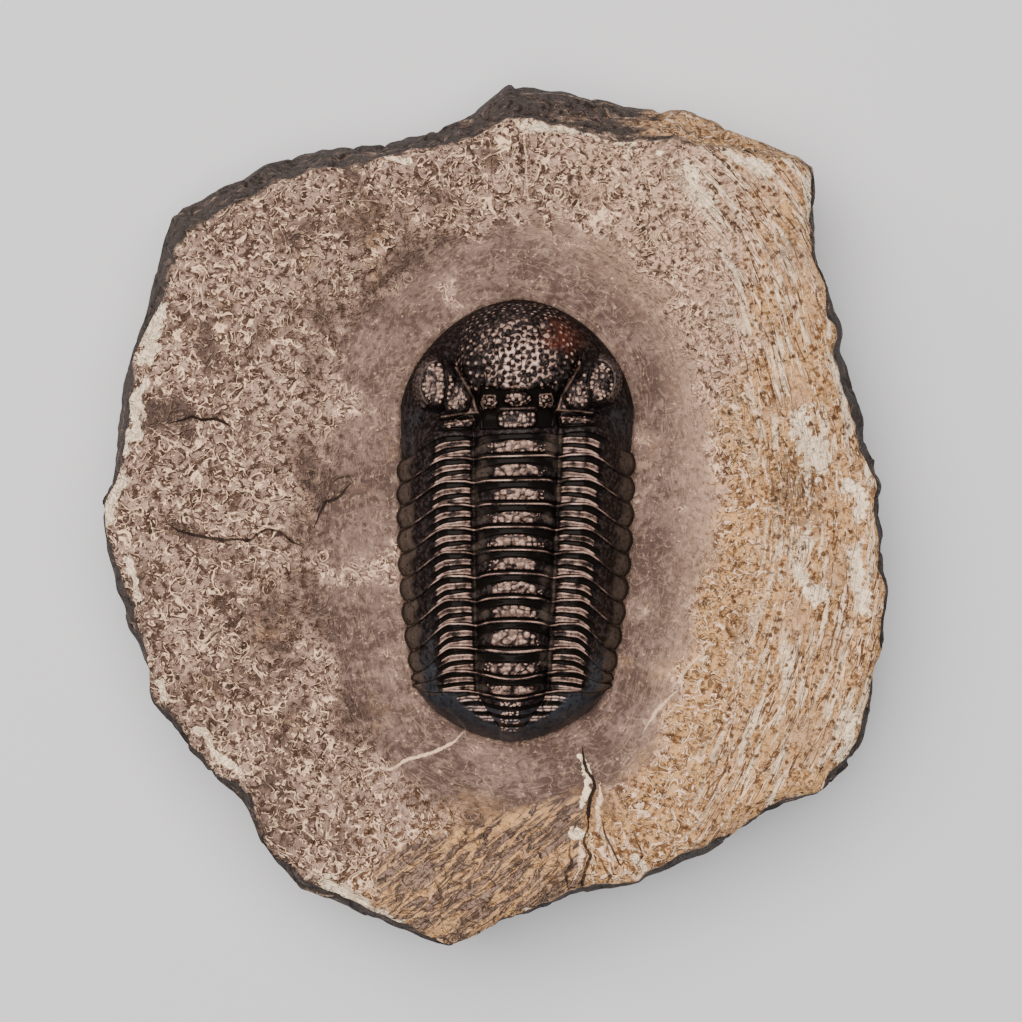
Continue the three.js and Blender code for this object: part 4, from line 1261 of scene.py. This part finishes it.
    # The broken walls.
    slaty = tree.noise(tree.moved(vector, Scale=(0.25, 0.25, 1.1)), 0.7, 3.0, 0.65)
    slate = tree.over(tree.times(coarse, 0.55), "slate", "moat")
    slate = tree.over(tree.step(grit, 0.50, 0.36), slate, "crack")
    wall = tree.over(tree.step(tree.gain(ochre, 0.35, slaty), 0.60, 0.85), slate, rough)
    colour = tree.over(tree.mask("wall"), colour, wall)

    # Chips, veins and cracks.
    chip = tree.step(tree.gain(grit, 3.0, tree.mask("chip")), 1.60, 1.90)
    cream = tree.over(tree.step(speck, 0.28, 0.55), "streak", "cream")
    colour = tree.over(chip, colour, cream)
    for mask, fray, low, high, upper in (
            ("vein", 2.2, 2.3, 1.5, "streak"), ("crack", 1.4, 2.0, 1.3, "crack")):
        width = tree.gain(speck, fray, tree.math("ABSOLUTE", tree.mask(mask)))
        line = tree.times(tree.step(width, low, high), tree.mask(mask + "_reach"))
        colour = tree.over(line, colour, upper)
    colour = mottled(tree, vector, colour, 0.16, 0.5)

    pitting = tree.add("ShaderNodeGroup", {"Vector": vector, "Scale": 3.2, "Depth": 0.7},
                       node_tree=pitting_group())
    pitted = tree.times(pitting.outputs["Pits"], tree.gain(pale, 0.55, 0.15))
    colour = tree.over(pitted, colour, "shade_and_patina")
    height = tree.gain(sunk, -0.8, tree.gain(raised, 0.9, pitting.outputs["Height"]))
    finish_surface(tree, shader, colour, tree.gain(chip, -0.2, 0.86), height,
                   tree.gain(scribed, 0.45, 0.40), 0.35 * MM)
    shader.inputs["Specular IOR Level"].default_value = 0.3
    return material


def floor_material():
    """Plain pale matt board."""
    material, tree, shader, vector = new_material("pale_board")
    fibre = tree.times(tree.noise(vector, 0.8, 3.0, 0.5), 0.06)
    tree.join(tree.over(fibre, "floor", (0.5, 0.5, 0.5, 1.0)), shader.inputs["Base Color"])
    shader.inputs["Roughness"].default_value = 0.9
    return material


# ---- What a user can change -------------------------------------------------------------------

def length_property(name, description, default):
    """A length property in metres."""
    return bpy.props.FloatProperty(name=name, description=description, default=default, min=0.0,
                                   precision=5, unit="LENGTH")


def colour_property(name, description, red, green, blue):
    """A colour property; its default is given as screen values from 0 to 255."""
    screen = np.array([red, green, blue]) / 255.0
    linear = np.where(screen <= 0.04045, screen / 12.92, ((screen + 0.055) / 1.055) ** 2.4)
    return bpy.props.FloatVectorProperty(name=name, description=description, size=3, min=0.0,
                                         max=1.0, subtype="COLOR", default=[float(c) for c in linear])


class TrilobiteSizes(bpy.types.PropertyGroup):
    """Sizes of the ornament."""
    tubercle_spacing: length_property(
        "Tubercle spacing", "Gap between tubercles on the glabella", TUBERCLE_SPACING)
    tubercle_height: length_property("Tubercle height", "How far a tubercle stands up", 0.00026)
    lens_diameter: length_property("Lens diameter", "Width of one lens of the eye", 0.0004)
    rib_relief: length_property("Rib relief", "Depth of the deepest furrow on a plate", RIB_RELIEF)
    scribe_depth: length_property("Scribe depth", "Depth of the tool marks on the slab", SCRIBE_DEPTH)


class TrilobiteColours(bpy.types.PropertyGroup):
    """Colours of the shell, the stone and the board."""
    shell: colour_property("Shell", "Dark calcite of the plates", 20, 15, 15)
    # Furrow: painted shade in the furrows and recesses, and the dark grain of the shell.
    furrow: colour_property("Furrow", "Dirt in the furrows", 9, 6, 5)
    bloom: colour_property("Bloom", "Grey film in patches on the plates", 60, 55, 56)
    rust: colour_property("Rust", "Iron stain on the glabella", 80, 37, 25)
    tip: colour_property("Tip", "Thin ends of the segments", 78, 68, 61)
    # Painted highlight on crests, band edges and tubercle tops, partly rubbed wear.
    worn: colour_property("Worn edge", "Worn back rims of the segments", 172, 144, 132)
    slate_shell: colour_property("Slate shell", "Blue grey of the steep rims", 50, 57, 66)
    moat: colour_property("Moat", "Brushed stone round the animal", 119, 100, 92)
    moat_dark: colour_property("Moat shade", "Darker brush marks", 82, 67, 62)
    ground: colour_property("Ground", "Scribed stone", 178, 151, 136)
    ground_dark: colour_property("Dark ground", "Scribed stone in darker patches", 138, 116, 105)
    # Painted shadow along the tool marks, and the patina in pits and grit.
    shade_and_patina: colour_property("Hollow", "Stone in the tool marks", 68, 50, 41)
    streak: colour_property("Streak", "Pale tool marks", 246, 213, 181)
    pale: colour_property("Pale ground", "Lighter stone on one side", 205, 172, 149)
    ochre: colour_property("Ochre", "Yellow stone", 208, 164, 113)
    # Painted shadow along the tool marks on ochre ground, and the patina there.
    ochre_shade_and_patina: colour_property("Ochre shade", "Yellow stone in hollows", 104, 72, 46)
    cream: colour_property("Cream", "Broken chips and veins", 255, 238, 208)
    slate: colour_property("Slate", "Dark beds and broken walls", 66, 59, 56)
    crack: colour_property("Crack", "Inside the cracks", 30, 20, 16)
    floor: colour_property("Board", "The board under the slab", 214, 222, 230)


# ---- Building -------------------------------------------------------------------------------

def finish_piece(piece, node, material):
    """Puts the finish on a piece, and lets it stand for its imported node."""
    piece.data.materials.append(material)
    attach(piece, "root")
    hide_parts(node)


def shell_piece(name, sections):
    """A plate of the animal from one or more tubes in its own frame."""
    parts, names = [], sorted({mask for _, masks in sections for mask in masks})
    values = {mask: [] for mask in names}
    for loops, masks in sections:
        parts.append(tube(in_place(loops)))
        for mask in names:
            values[mask].append(spread(masks.get(mask, np.zeros((1, 1))), loops))
    piece = new_piece(name + "_shell", parts, {mask: np.concatenate(v) for mask, v in values.items()})
    finish_piece(piece, name, shell_material())


class TRILOBITE_OT_slab(bpy.types.Operator):
    """Build the prepared limestone slab"""
    bl_idname = "trilobite.slab"
    bl_label = "Limestone slab"

    def execute(self, context):
        loops, masks = slab_loops(context.scene.trilobite_sizes)
        piece = new_piece("limestone_slab", [tube(loops)], masks)
        finish_piece(piece, "matrix", limestone_material())
        return {"FINISHED"}


class TRILOBITE_OT_head(bpy.types.Operator):
    """Build the head with its glabella and both eyes"""
    bl_idname = "trilobite.head"
    bl_label = "Head"

    def execute(self, context):
        sizes = context.scene.trilobite_sizes
        eyes = [eye_loops(side, sizes) for side in (-1, 1)]
        shell_piece("cephalon", [head_loops(sizes), *eyes])
        return {"FINISHED"}


class TRILOBITE_OT_thorax(bpy.types.Operator):
    """Build the eleven plates of the thorax"""
    bl_idname = "trilobite.thorax"
    bl_label = "Thorax"

    def execute(self, context):
        for k in range(1, THORAX["segments"] + 1):
            shell_piece(f"thoracic_segment_{k:02d}", [segment_loops(k, context.scene.trilobite_sizes)])
        return {"FINISHED"}


class TRILOBITE_OT_tail(bpy.types.Operator):
    """Build the tail shield"""
    bl_idname = "trilobite.tail"
    bl_label = "Tail"

    def execute(self, context):
        shell_piece("pygidium", [tail_loops(context.scene.trilobite_sizes)])
        return {"FINISHED"}


class TRILOBITE_OT_stage(bpy.types.Operator):
    """Build the board, the lights and the camera"""
    bl_idname = "trilobite.stage"
    bl_label = "Board, lights and camera"

    def execute(self, context):
        scene = context.scene
        mesh = bpy.data.meshes.new("board")
        corners = [(BOARD_HALF * x, BOARD_HALF * y, 0) for x, y in ((-1, -1), (1, -1), (1, 1), (-1, 1))]
        mesh.from_pydata(corners, [], [(0, 1, 2, 3)])
        board = bpy.data.objects.new("board", mesh)
        scene.collection.objects.link(board)
        board.data.materials.append(floor_material())

        for name, place, size, power in LAMPS:
            lamp = bpy.data.lights.new(name, "AREA")
            lamp.size, lamp.energy, lamp.color = size, power, LAMP_COLOUR
            light = bpy.data.objects.new(name, lamp)
            light.location = place
            light.rotation_euler = (-light.location).to_track_quat("-Z", "Y").to_euler()
            scene.collection.objects.link(light)

        world = bpy.data.worlds.new("studio")
        world.use_nodes = True
        for name, value in SKY.items():
            world.node_tree.nodes["Background"].inputs[name].default_value = value
        scene.world = world

        lens = bpy.data.cameras.new("camera")
        camera = bpy.data.objects.new("camera", lens)
        camera.location = [
            value * MM for value in (SLAB[0] + CAMERA["x"], SLAB[1] + CAMERA["y"], CAMERA["height"])]
        lens.angle = 2 * math.atan(0.5 * CAMERA["width"] / (CAMERA["height"] - CAMERA["level"]))
        lens.clip_start = 0.01
        scene.collection.objects.link(camera)
        scene.camera = camera
        return {"FINISHED"}


OPERATORS = (TRILOBITE_OT_slab, TRILOBITE_OT_head, TRILOBITE_OT_thorax, TRILOBITE_OT_tail,
             TRILOBITE_OT_stage)


class TRILOBITE_PT_panel(bpy.types.Panel):
    """The pieces, and their sizes and colours"""
    bl_idname = "TRILOBITE_PT_panel"
    bl_label = "Trilobite"
    bl_space_type = "VIEW_3D"
    bl_region_type = "UI"
    bl_category = "Trilobite"

    def draw(self, context):
        for operator in OPERATORS:
            self.layout.operator(operator.bl_idname)
        for group in (context.scene.trilobite_sizes, context.scene.trilobite_colours):
            for name in group.__annotations__:
                self.layout.prop(group, name)


CLASSES = (TrilobiteSizes, TrilobiteColours, *OPERATORS, TRILOBITE_PT_panel)


def register():
    """Makes the classes and the scene's sizes and colours known to Blender."""
    for item in CLASSES:
        bpy.utils.register_class(item)
    bpy.types.Scene.trilobite_sizes = bpy.props.PointerProperty(type=TrilobiteSizes)
    bpy.types.Scene.trilobite_colours = bpy.props.PointerProperty(type=TrilobiteColours)


def unregister():
    """Takes back what register made known."""
    del bpy.types.Scene.trilobite_colours
    del bpy.types.Scene.trilobite_sizes
    for item in reversed(CLASSES):
        bpy.utils.unregister_class(item)


def main():
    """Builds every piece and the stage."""
    register()
    for build in (bpy.ops.trilobite.slab, bpy.ops.trilobite.head, bpy.ops.trilobite.thorax,
                  bpy.ops.trilobite.tail, bpy.ops.trilobite.stage):
        build()


if __name__ == "__main__":
    main()
